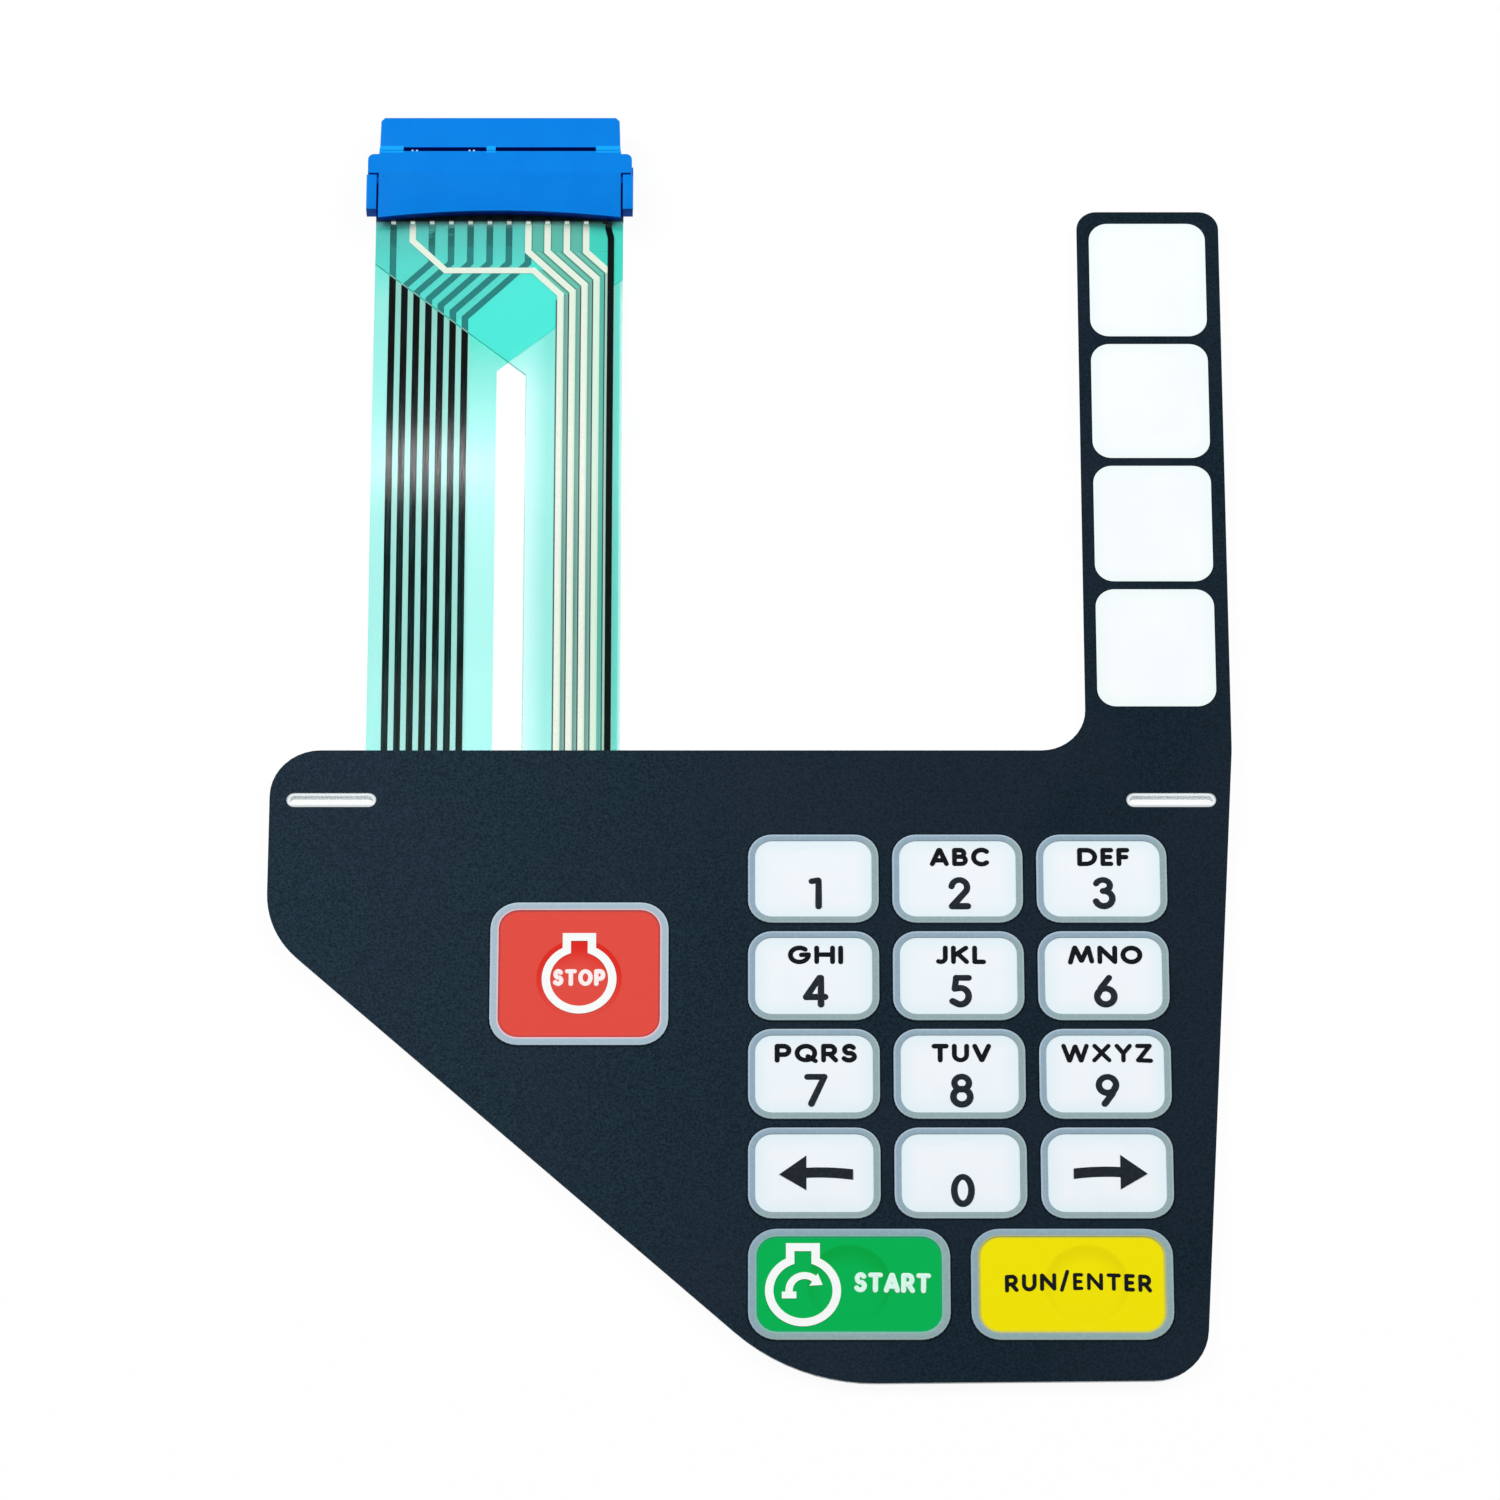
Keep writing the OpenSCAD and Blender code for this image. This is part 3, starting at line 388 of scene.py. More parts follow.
def carbonFinish():
    f = Finish("carbon_track_ink", Specular_IOR_Level=0.2)
    lines = f.noise(1.0, 3, 0.5, (4.5, 0.16, 1.0))
    dark = f.y.ramp(-5, 60, [(-5, colour(2, 22, 20)), (30, colour(0, 20, 20)),
                             (44, colour(0, 10, 10)), (52, colour(0, 2, 2))])
    light = f.y.ramp(-5, 60, [(-5, colour(16, 52, 48)), (30, colour(12, 50, 50)),
                              (44, colour(4, 28, 28)), (52, colour(0, 6, 6))])
    f.set("Base Color", f.mix(lines.rise(0.4, 0.7), dark, light))
    f.set("Roughness", 0.08 + lines * 0.12 + (1 - f.y.rise(1, 11)) * 0.35)
    f.set("Normal", f.bump(lines, 0.03, 0.25))
    return f.material


def edgeTrackFinish():
    f = Finish("edge_track_ink", Roughness=0.4, Specular_IOR_Level=0.04)
    f.set("Base Color", f.mix(f.noise(0.5, 2), colour(1, 4, 5), colour(6, 12, 13)))
    return f.material


def fromCut(f, which):  # distance above the slanting cut of the lower or the upper film
    if which == "lower":
        return (f.y - tail["lowerFork"]) - (f.x - tail["lowerRight"]) * tail["cutSlope"]
    return (f.y - tail["upperFork"]) + (f.x - tail["upperLeft"]) * tail["cutSlope"]


def bothFilms(f):  # 1 where the two films lie on each other
    return fromCut(f, "lower").rise(-0.4, 0.4) * fromCut(f, "upper").rise(-0.05, 0.05)


def insidePanel(f):  # 1 where a circuit film lies under the overlay
    return 1 - f.y.rise(tail["root"] - 0.05, tail["root"] + 0.05)


def lowerFilmFinish():
    f = Finish("green_film", Specular_IOR_Level=0.4)
    both = bothFilms(f)
    left = f.y.ramp(-5, 75, [(-5, overWhite(172, 241, 235)), (25, overWhite(176, 241, 234)),
                             (46, overWhite(168, 238, 231)), (62, overWhite(150, 231, 221)),
                             (68, overWhite(98, 223, 211))])
    between = f.y.ramp(-5, 75, [(-5, overWhite(180, 234, 230)), (8, overWhite(162, 224, 215)),
                                (40, overWhite(170, 228, 220)), (52, overWhite(152, 220, 210)),
                                (62, overWhite(140, 208, 194))])
    right = f.y.ramp(-5, 75, [(-5, overWhite(178, 245, 239)), (30, overWhite(186, 246, 240)),
                              (46, overWhite(162, 240, 232)), (52, overWhite(136, 232, 221)),
                              (56, overWhite(100, 226, 208))])
    alone = f.mix(f.x.rise(-47.8, -47.4), left, between)
    alone = f.mix(f.x.rise(-37.2, -36.6), alone, right)
    # under the upper film: greyer among the black tracks, and darker near the connector as painted
    # shade of the flap
    crowd = (f.y - f.x).rise(97.0, 97.8).math("MAXIMUM", f.y.rise(67.5, 69.5))
    double = f.mix(crowd, colour(84, 244, 227), colour(96, 224, 209))
    double = f.mix(f.y.rise(66, 71.5) * (1 - f.x.rise(-21, -19)), double, colour(92, 200, 188))
    double = f.mix(f.x.rise(-18.2, -18.0), double, colour(64, 222, 196))
    tint = f.mix(both, alone, double)
    panel = insidePanel(f)
    f.set("Base Color", f.mix(panel, tint, colour(238, 246, 247)))
    edges = f.sides()
    f.set("Alpha", (filmAlpha + both * 0.33 + edges * 0.2 + panel * 0.4).math("MINIMUM", 1.0))
    f.set("Roughness", 0.14 + f.noise(3, 2) * 0.06 + (1 - f.y.rise(1, 11)) * 0.3)
    f.set("Normal", f.bump(f.noise(14, 1), 0.15, 0.3))
    return f.material


def coatFinish():
    f = Finish("green_coat", Roughness=0.25, Specular_IOR_Level=0.3)
    both = bothFilms(f)
    past, low, top, slant = silverRuns(f)
    first = tail["lastSilver"] - 4 * tail["silverPitch"]
    last = tail["lastSilver"]
    edge = f.x.ramp(-29.5, -26, [(-29.5, overWhite(218, 248, 244)),
                                 (-28.4, overWhite(194, 244, 241)),
                                 (-26.6, overWhite(162, 235, 227))])
    high = f.x.ramp(-29.5, -26, [(-29.5, overWhite(150, 238, 229)),
                                 (-28.4, overWhite(148, 236, 228)),
                                 (-26.6, overWhite(130, 227, 216))])
    alone = f.mix(f.y.rise(46, 57), edge, high)
    # among the silver tracks: the painted shadow of the tracks, with a darker painted shadow line
    # at each track's left side
    gap = tail["silverPitch"] - tail["silverWidth"]
    among = f.x.within(first, last - 0.2, 0.06) * low
    trackShadow = f.y.ramp(-5, 65, [(-5, colour(108, 148, 142)), (18, colour(100, 143, 133)),
                             (40, colour(110, 164, 153)), (60, colour(98, 160, 146))])
    trackShadow = f.mix(past.rise(0.1, gap - 0.2), trackShadow, colour(120, 174, 160))
    lastGap = f.x.rise(last - tail["silverPitch"] + 0.3, last - tail["silverPitch"] + 0.5)
    trackShadow = f.mix(lastGap, trackShadow, colour(82, 178, 161))
    trackShadow = f.mix(past.rise(gap - 0.22, gap - 0.13), trackShadow, colour(30, 74, 68))
    # the painted shadow line at the first track's left side
    beside = f.x.within(first - tail["silverWidth"] / 2 - 0.2, first, 0.04) * low
    # among the slanting and the short upper runs, darker beside the tracks as their painted shadow,
    # and the free corner to the right of them
    wide = past.rise(0.12, 0.3) * (1 - past.rise(0.62, 0.8))
    slanted = f.mix(wide, colour(70, 142, 122), colour(97, 190, 170))
    upright = f.mix(past.within(0.16, 1.54, 0.08), colour(60, 140, 125), colour(80, 180, 162))
    diagonal = f.x + f.y - (tail["middle"] + 1.5 * tail["pitch"]) - tail["silverBend"]
    beyond = (diagonal - 3 * tail["pitch"]).rise(0.4, 0.5) * f.x.rise(-21.5, -21.4)
    inFan = diagonal.rise(-1.5, -1.4) * (1 - f.y.rise(66.5, 66.6))
    inFan = inFan.math("MAXIMUM", diagonal.rise(-0.2, -0.1)) * slant
    fan = inFan.math("MAXIMUM", top * f.x.rise(-29.4, -29.3)) * (1 - f.x.rise(-18.7, -18.6))
    # to the right of the black edge track
    strip = f.x.ramp(-18.1, -16.8, [(-18.1, overWhite(150, 208, 200)),
                                    (-17.85, overWhite(96, 212, 198)),
                                    (-17.3, overWhite(108, 220, 207)),
                                    (-17.1, overWhite(190, 238, 232))])
    stripHigh = f.x.ramp(-18.1, -16.8, [(-18.1, overWhite(70, 190, 170)),
                                        (-17.3, overWhite(62, 210, 190)),
                                        (-17.1, overWhite(126, 210, 198))])
    tint = f.mix(f.x.rise(-18.12, -18.06), alone, f.mix(f.y.rise(61, 69), strip, stripHigh))
    tint = f.mix(both, tint, colour(43, 190, 184))
    tint = f.mix(among, tint, trackShadow)
    tint = f.mix(beside, tint, colour(58, 106, 98))
    fanTint = f.mix(beyond, f.mix(top, slanted, upright), colour(45, 203, 183))
    f.set("Base Color", f.mix(fan, tint, fanTint))
    dense = (among.math("MAXIMUM", fan)).math("MAXIMUM", beside)
    thin = both * (1 - dense)
    f.set("Alpha", filmAlpha - thin * (filmAlpha - 0.225) + dense * (0.98 - filmAlpha))
    return f.material


def clearFilmFinish():
    f = Finish("clear_film", Roughness=0.1, Specular_IOR_Level=0.4)
    edges = f.sides()
    panel = insidePanel(f)
    cut = fromCut(f, "upper").within(0.0, 0.16, 0.03) * (1 - f.x.rise(-29.5, -29.4))
    leftEdge = f.x.within(-29.6, -29.36, 0.03) * (1 - f.y.rise(50.7, 50.8)) * (1 - panel)
    half = tail["carbonPitch"] / 2
    overBlack = (f.x - tail["firstCarbon"]).wrap(-half, half).math("ABSOLUTE")
    amongBlack = f.x.rise(-47.8, -47.7) * (1 - f.x.rise(-36.7, -36.6))
    overBlack = (1 - overBlack.rise(0.4, 0.5)) * amongBlack
    line = f.mix(overBlack, colour(38, 150, 128), colour(168, 196, 180))
    # the film's side faces are painted paler: a painted highlight on its edges
    tint = f.mix(cut, f.mix(edges, colour(176, 240, 232), colour(200, 240, 232)), line)
    tint = f.mix(leftEdge, tint, colour(120, 190, 178))
    lip = tail["end"]
    shaded = f.y.rise(lip + 0.15, lip + 0.5) * 0.7 + f.y.rise(lip - 0.75, lip + 0.5) * 0.25
    f.set("Base Color", f.mix(shaded, f.mix(panel, tint, colour(238, 246, 247)), colour(0, 6, 10)))
    f.set("Alpha", (0.006 + edges * 0.4 + cut * 0.6 + leftEdge * 0.3 + panel + shaded).math(
        "MINIMUM", 1.0))
    f.set("Normal", f.bump(f.noise(16, 1), 0.2, 0.4))
    return f.material


moulding = {  # x from the tail's middle and y from the flap's lip
    "straps": [(-15.95, -12.75), (-1.82, -0.58), (12.65, 15.95)],
    "hinge": (9.62, 10.72),
    "window": (9.76, 10.56),
    "ears": 16.05,
    "firstGlint": -11.62,
    "glintGap": 0.58,
    "glintPairs": [(-11.9, -10.76), (-4.36, -3.2)],
}


def housingFinish():
    f = Finish("blue_moulding", Specular_IOR_Level=0.06, Emission_Strength=1.0)
    x = f.x - tail["middle"]
    y = f.y - tail["end"]
    grain = f.noise(0.5, 3, 0.6).rise(0.3, 0.7)
    cloud = f.noise(4, 2).rise(0.3, 0.7)
    blue = f.mix(grain * 0.35, colour(0, 127, 225), colour(2, 134, 231))
    blue = f.mix(cloud * 0.3, blue, colour(0, 119, 217))
    # the hinge straps are painted lighter: a painted highlight on their curve
    hinge = y.within(*moulding["hinge"], 0.06)
    strap = sum(x.within(*span, 0.06) for span in moulding["straps"]).math("MINIMUM", 1.0)
    blue = f.mix(hinge * strap * 0.6, blue, colour(24, 182, 255))
    # where the hinge windows look into the moulding: painted shade
    window = y.within(*moulding["window"], 0.03) * (1 - strap) * (1 - f.z.rise(3.9, 4.1))
    front = (0 - f.facing("Y")).rise(0.35, 0.75)
    shade = f.z.ramp(1.8, 4.2, [(1.8, colour(0, 2, 40)), (2.9, colour(0, 6, 62)),
                                (3.7, colour(0, 38, 140)), (4.2, colour(0, 80, 190))])
    ears = moulding["ears"]
    shade = f.mix(x.math("ABSOLUTE").rise(ears - 0.05, ears + 0.05), shade, colour(0, 74, 160))
    # the groove between each post and the flap: painted shade
    groove = x.math("ABSOLUTE").within(15.99, 16.22, 0.03) * y.within(1.3, 6.55, 0.05)
    blue = f.mix(front, blue, shade)
    blue = f.mix(window.math("MAXIMUM", groove), blue, colour(0, 40, 150))
    # two pairs of painted glints that glow, seen through the left window
    half = moulding["glintGap"] / 2
    glint = (x - moulding["firstGlint"]).wrap(-half, half).math("ABSOLUTE")
    glint = (1 - glint.rise(0.08, 0.18)) * f.z.within(2.8, 3.3, 0.06) * window
    inPair = sum(x.within(*span, 0.02) for span in moulding["glintPairs"])
    # the whole moulding glows a faint blue, painted light in its dark parts, and the glints glow
    # brightly
    f.set("Emission Color", f.mix(glint * inPair, colour(0, 3, 24), colour(180, 225, 255)))
    f.set("Base Color", blue)
    f.set("Roughness", 0.38 + grain * 0.1)
    f.set("Normal", f.bump(grain, 0.012, 0.35))
    return f.material


def contactFinish():
    f = Finish("tinned_contact", Metallic=0.2, Emission_Strength=1.0)
    bright = f.mix(f.noise(0.8, 2), colour(224, 224, 216), colour(246, 246, 240))
    # the tips' parts behind the flap's lip are painted dark as its shade, and the last contact is
    # painted dark
    paintedDark = f.y.rise(tail["end"] + 0.1, tail["end"] + 0.3)
    paintedDark = paintedDark.math("MAXIMUM", f.x.rise(-20.3, -20.1))  # the last contact is dark
    f.set("Base Color", f.mix(paintedDark, bright, colour(14, 22, 26)))
    # the tips in front of the lip glow: a painted glint
    f.set("Emission Color", f.mix(paintedDark, colour(158, 166, 160), colour(0, 0, 0)))
    f.set("Roughness", 0.24 + f.noise(0.5, 2) * 0.2)
    return f.material


finishes = {
    "overlay_film": overlayFinish(),
    "number_key_faces": whiteFinish(),
    "softkey_faces": softkeyFinish(),
    "stop_key_face": domedInk("red_ink", (227, 78, 67), (188, 72, 70), (222, 42, 32),
                              (-21.8, -34.05), 5.4, 1.7, 0.12),
    "start_key_face": domedInk("green_ink", (0, 178, 82), (20, 170, 100), (0, 165, 66),
                               (12.2, -75.2), 5.2, 1.4, 0.2),
    "enter_key_face": domedInk("yellow_ink", (242, 228, 0), (224, 216, 50), (231, 215, 0),
                               (41.8, -75.2), 5.2, 1.2, 0.3),
    "arrow_legends": printFinish("dark_sign_ink", (22, 29, 35), (30, 39, 47)),
    "engine_symbols": printFinish("white_sign_ink", (250, 252, 250), (244, 250, 246)),
    "overlay_adhesive": layerFinish("overlay_glue", (199, 208, 210), 0.3, 1.5),
    "dome_spacer": layerFinish("dome_spacer_film", (220, 224, 220), 0.35, 1.2),
    "snap_domes": steelFinish(),
    "silver_tracks": silverFinish(),
    "carbon_edge_track": edgeTrackFinish(),
    "insulating_coat": coatFinish(),
    "circuit_spacer": layerFinish("circuit_spacer_film", (222, 226, 220), 0.35, 1.2),
    "rear_adhesive": layerFinish("rear_glue", (206, 203, 182), 0.3, 1.5),
    "release_liner": layerFinish("liner_paper", (238, 230, 206), 0.55, 0.9),
    "crimp_contacts": contactFinish(),
}
for name, material in finishes.items():
    mesh = nodes[name].data
    if not mesh.materials:
        mesh.materials.append(material)
    for i in range(len(mesh.materials)):
        mesh.materials[i] = material
nodes["insulating_coat"].visible_shadow = False  # a thin clear layer passes the light
print("finishes set:", len(finishes))


# New pieces

def finished(bm, name, material, smooth=35, turnOut=True):
    if turnOut:
        bmesh.ops.recalc_face_normals(bm, faces=bm.faces)
    mesh = bpy.data.meshes.new(name)
    bm.to_mesh(mesh)
    bm.free()
    mesh.materials.append(material)
    flatNormals = mesh.attributes.get("custom_normal")  # a copy of a CAD mesh brings them along
    if flatNormals:
        mesh.attributes.remove(flatNormals)
    piece = bpy.data.objects.new(name, mesh)
    bpy.context.scene.collection.objects.link(piece)
    if smooth:
        mesh.shade_smooth()
        mesh.set_sharp_from_angle(angle=math.radians(smooth))
    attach(piece, "root")
    return piece


# The films and the black tracks follow the tail's bow: their copies are shaded smooth
smoothCopies = {
    "smooth_lower_film": ("lower_circuit_film", lowerFilmFinish(), "green_film"),
    "smooth_upper_film": ("upper_circuit_film", clearFilmFinish(), "clear_film"),
    "smooth_carbon_tracks": ("carbon_tracks", carbonFinish(), "carbon_ink"),
}
for name, (node, material, slot) in smoothCopies.items():
    bm = bmesh.new()
    bm.from_mesh(nodes[node].data)
    bmesh.ops.remove_doubles(bm, verts=bm.verts, dist=1e-6)
    piece = finished(bm, name, material, 15, turnOut=False)
    piece.visible_shadow = False
    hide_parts(node)
print("films made smooth")


border = {"grow": 0.01, "roundOver": 0.06, "cornerSteps": 8}


def addBorder(bm, x, y, width, depth, corner, wide):
    ring = bmesh.new()
    grow = border["grow"]
    bmesh.ops.create_grid(ring, x_segments=1, y_segments=1, size=0.5)
    bmesh.ops.scale(ring, vec=((width + 2 * grow), (depth + 2 * grow), 1), verts=ring.verts)
    bmesh.ops.bevel(ring, geom=list(ring.verts), offset=corner + grow, affect="VERTICES",
                    segments=border["cornerSteps"], profile=0.5, material=-1)
    face = list(ring.faces)
    bmesh.ops.inset_individual(ring, faces=face, thickness=wide + 2 * grow,
                               use_even_offset=True)
    bmesh.ops.delete(ring, geom=face, context="FACES_ONLY")
    made = bmesh.ops.extrude_face_region(ring, geom=list(ring.faces), use_keep_orig=True)
    lifted = [v for v in made["geom"] if isinstance(v, bmesh.types.BMVert)]
    height = plan["top"] - plan["surface"]
    bmesh.ops.translate(ring, vec=(0, 0, height), verts=lifted)
    rims = [e for e in ring.edges if all(v.co.z > height / 2 for v in e.verts)
            and len(e.link_faces) == 2
            and e.link_faces[0].normal.angle(e.link_faces[1].normal, 0) > 0.8]
    bmesh.ops.bevel(ring, geom=rims, offset=border["roundOver"], affect="EDGES",
                    segments=3, profile=0.5, material=-1)
    bmesh.ops.translate(ring, vec=(x, y, plan["surface"]), verts=ring.verts)
    mesh = bpy.data.meshes.new("ring")
    ring.to_mesh(mesh)
    ring.free()
    bm.from_mesh(mesh)
    bpy.data.meshes.remove(mesh)


def keyBorders():
    bm = bmesh.new()
    for y in plan["rows"]:
        for x in plan["columns"]:
            addBorder(bm, x, y, *plan["key"])
    addBorder(bm, *plan["stopAt"], *plan["stopKey"])
    for place in ("startAt", "enterAt"):
        addBorder(bm, *plan[place], *plan["wideKey"])
    bmesh.ops.scale(bm, vec=(mm, mm, mm), verts=bm.verts)
    piece = finished(bm, "raised_key_borders", borderFinish())
    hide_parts("key_borders")
    return piece


keyBorders()
print("key borders made")


# Lettering: each sign is a set of strokes in a box one unit high

def arc(x, y, rx, ry, start, end, steps=14):
    return [(x + rx * math.cos(math.radians(start + (end - start) * i / steps)),
             y + ry * math.sin(math.radians(start + (end - start) * i / steps)))
            for i in range(steps + 1)]


signs = {
    "0": (0.6, [arc(0.3, 0.5, 0.3, 0.5, 90, 450, 28)]),
    "1": (0.24, [[(0, 0.95), (0.22, 0.99)], [(0.24, 0.97), (0.24, 0)]]),
    "2": (0.57, [arc(0.28, 0.72, 0.275, 0.28, 172, -32) + [(0.02, 0), (0.57, 0)]]),
    "3": (0.6, [arc(0.27, 0.79, 0.25, 0.21, 158, -75), arc(0.3, 0.29, 0.3, 0.29, 95, -158)]),
    "4": (0.66, [[(0.52, 0), (0.52, 1)], [(0.46, 1.0), (0, 0.275), (0.66, 0.28)]]),
    "5": (0.57, [[(0.567, 1), (0.132, 1), (0.083, 0.59)]
                 + arc(0.28, 0.31, 0.287, 0.31, 104, -125) + [(0, 0.12)]]),
    "6": (0.6, [arc(0.3, 0.3, 0.3, 0.3, 160, 520, 28), [(0.42, 1), (0.14, 0.62), (0.03, 0.38)]]),
    "7": (0.585, [[(0, 1), (0.585, 1), (0.135, 0)]]),
    "8": (0.6, [arc(0.3, 0.77, 0.254, 0.24, 270, 630, 24),
                arc(0.3, 0.26, 0.296, 0.29, 90, 450, 28)]),
    "9": (0.6, [arc(0.3, 0.7, 0.3, 0.3, -20, -380, 28), [(0.57, 0.62), (0.46, 0.36), (0.2, 0)]]),
    "A": (0.93, [[(0, 0), (0.43, 1)], [(0.5, 1), (0.93, 0)], [(0.2, 0.26), (0.74, 0.26)]]),
    "B": (0.72, [[(0, 0), (0, 1), (0.36, 1)] + arc(0.38, 0.76, 0.24, 0.24, 90, -90)
                 + [(0, 0.52)], [(0.36, 0.52)] + arc(0.44, 0.26, 0.28, 0.26, 90, -90) + [(0, 0)]]),
    "C": (0.83, [arc(0.52, 0.5, 0.52, 0.52, 50, 310, 22)]),
    "D": (0.95, [[(0, 0), (0, 1), (0.4, 1)] + arc(0.42, 0.5, 0.53, 0.5, 90, -90, 18) + [(0, 0)]]),
    "E": (0.5, [[(0.5, 1), (0, 1), (0, 0), (0.5, 0)], [(0, 0.5), (0.44, 0.5)]]),
    "F": (0.5, [[(0.5, 1), (0, 1), (0, 0)], [(0, 0.5), (0.44, 0.5)]]),
    "G": (1.09, [arc(0.54, 0.5, 0.54, 0.51, 50, 348, 24) + [(1.09, 0.52)],
                 [(1.07, 0.52), (0.66, 0.5)]]),
    "H": (0.95, [[(0, 0), (0, 1)], [(0.95, 0), (0.95, 1)], [(0, 0.52), (0.95, 0.52)]]),
    "I": (0.0, [[(0, 0), (0, 1)]]),
    "J": (0.5, [[(0.5, 1), (0.5, 0.3)] + arc(0.22, 0.28, 0.28, 0.28, 0, -120, 10)]),
    "K": (0.8, [[(0, 0), (0, 1)], [(0.76, 1), (0.05, 0.45)], [(0.26, 0.6), (0.8, 0)]]),
    "L": (0.54, [[(0, 1), (0, 0), (0.54, 0)]]),
    "M": (1.36, [[(0, -0.02), (0.27, 1)], [(0.31, 1), (0.69, 0.1)], [(0.73, 0.1), (1.1, 1)],
                 [(1.14, 1), (1.36, 0.04)]]),
    "N": (0.95, [[(0, 0), (0, 1)], [(0.02, 1), (0.93, 0.02)], [(0.95, 0), (0.95, 1)]]),
    "O": (1.08, [arc(0.54, 0.5, 0.54, 0.5, 90, 450, 32)]),
    "P": (0.72, [[(0, 0), (0, 1), (0.4, 1)] + arc(0.42, 0.7, 0.3, 0.3, 90, -90) + [(0, 0.4)]]),
    "Q": (1.12, [arc(0.54, 0.5, 0.54, 0.5, 90, 450, 32), [(0.66, 0.27), (1.12, -0.06)]]),
    "R": (0.74, [[(0, 0), (0, 1), (0.38, 1)] + arc(0.4, 0.72, 0.28, 0.28, 90, -90) + [(0, 0.44)],
                 [(0.36, 0.44), (0.74, 0)]]),
    "S": (0.66, [arc(0.34, 0.75, 0.29, 0.26, 32, 250, 14)
                 + arc(0.31, 0.26, 0.34, 0.26, 70, -150, 14)]),
    "T": (0.8, [[(0, 1), (0.8, 1)], [(0.4, 1), (0.4, 0)]]),
    "U": (0.82, [[(0, 1), (0, 0.38)] + arc(0.41, 0.39, 0.41, 0.39, 180, 360, 16) + [(0.82, 1)]]),
    "V": (0.92, [[(0, 1), (0.44, 0.02)], [(0.48, 0.02), (0.92, 1)]]),
    "W": (1.5, [[(0, 1), (0.36, 0)], [(0.4, 0), (0.74, 0.95)], [(0.78, 0.95), (1.12, 0)],
                [(1.16, 0), (1.5, 1)]]),
    "X": (0.98, [[(0.03, 1), (0.98, 0)], [(0.93, 1), (0, 0)]]),
    "Y": (0.84, [[(0, 1), (0.42, 0.48)], [(0.84, 1), (0.42, 0.48)], [(0.42, 0.48), (0.42, 0)]]),
    "Z": (0.84, [[(0, 1), (0.8, 1), (0.04, 0.02), (0.86, -0.02)]]),
    "/": (0.44, [[(0, -0.1), (0.44, 1.24)]]),
}


def unbroken(stroke, limit=35):  # a stroke is parted where it turns sharply, so each part is full
    parts, part = [], [stroke[0]]
    for before, here, after in zip(stroke, stroke[1:], stroke[2:]):
        part.append(here)
        turn = (Vector(here) - Vector(before)).angle(Vector(after) - Vector(here))
        if turn > math.radians(limit):
            parts.append(part)
            part = [here]
    return parts + [part + [stroke[-1]]]


def roundCapped(stroke, radius):  # points and radii of one stroke with round ends
    def beyond(end, inner):
        away = (Vector(end) - Vector(inner)).normalized() * radius
        return [(Vector(end) + away * t, math.sqrt(max(0.0, 1 - t * t)))
                for t in (0.45, 0.75, 0.93, 0.999)]
    body = [(Vector(p), 1.0) for p in stroke]
    return list(reversed(beyond(stroke[0], stroke[1]))) + body + beyond(stroke[-1], stroke[-2])


def spread(text, height, stroke, width=None, gap=0.4):  # strokes of a word about its middle
    unit = height - stroke
    plain = sum(signs[c][0] for c in text) * unit
    gaps = (len(text) - 1) * (gap + stroke)
    stretch = (width - stroke - gaps) / plain if width else 1
    x, placed = -(plain * stretch + gaps) / 2, []
    for c in text:
        placed += [[(x + px * unit * stretch, (py - 0.5) * unit) for px, py in s]
                   for s in signs[c][1]]
        x += signs[c][0] * unit * stretch + gap + stroke
    return placed


def lettering(name, words, material):
    curve = bpy.data.curves.new(name, "CURVE")
    curve.dimensions = "3D"
    curve.bevel_depth = 1.0
    curve.bevel_resolution = 3
    for word in words:
        radius = word["stroke"] / 2
        turn = Matrix.Rotation(math.radians(word.get("tilt", 0)), 2)
        whole = spread(word["text"], word["height"], word["stroke"], word.get("width"),
                       word.get("gap", 0.4))
        for i, stroke in enumerate(part for stroke in whole for part in unbroken(stroke)):
            closed = (Vector(stroke[0]) - Vector(stroke[-1])).length < 1e-3
            points = ([(Vector(p), 1.0) for p in stroke[:-1]] if closed
                      else roundCapped(stroke, radius))
            spline = curve.splines.new("POLY")
            spline.use_cyclic_u = closed
            spline.points.add(len(points) - 1)
            for point, (at, size) in zip(spline.points, points):
                rise = word.get("arch", 0) * (1 - (2 * at.x / word.get("width", 1)) ** 2)
                at = turn @ (at + Vector((0, rise)))
                point.co = (at.x + word["at"][0], at.y + word["at"][1], -100 * (i % 5), 1)
                point.radius = size * radius
    holder = bpy.data.objects.new(name + "_line", curve)
    bpy.context.scene.collection.objects.link(holder)
    bpy.context.view_layer.update()
    mesh = bpy.data.meshes.new_from_object(holder.evaluated_get(
        bpy.context.evaluated_depsgraph_get()))
    bpy.data.objects.remove(holder)
    bm = bmesh.new()
    bm.from_mesh(mesh)
    bmesh.ops.remove_doubles(bm, verts=bm.verts, dist=0.0005)
    thick = plan["top"] - plan["face"]
    for v in bm.verts:  # flat above and below, with steep sides, and no two strokes equally high
        order = round(-v.co.z / 100)
        flat = max(-1.0, min(1.0, (v.co.z + order * 100) * 6))
        v.co.z = plan["face"] + thick / 2 + flat * (thick / 2 - order * 0.001)
    bmesh.ops.scale(bm, vec=(mm, mm, mm), verts=bm.verts)
    return finished(bm, name, material)


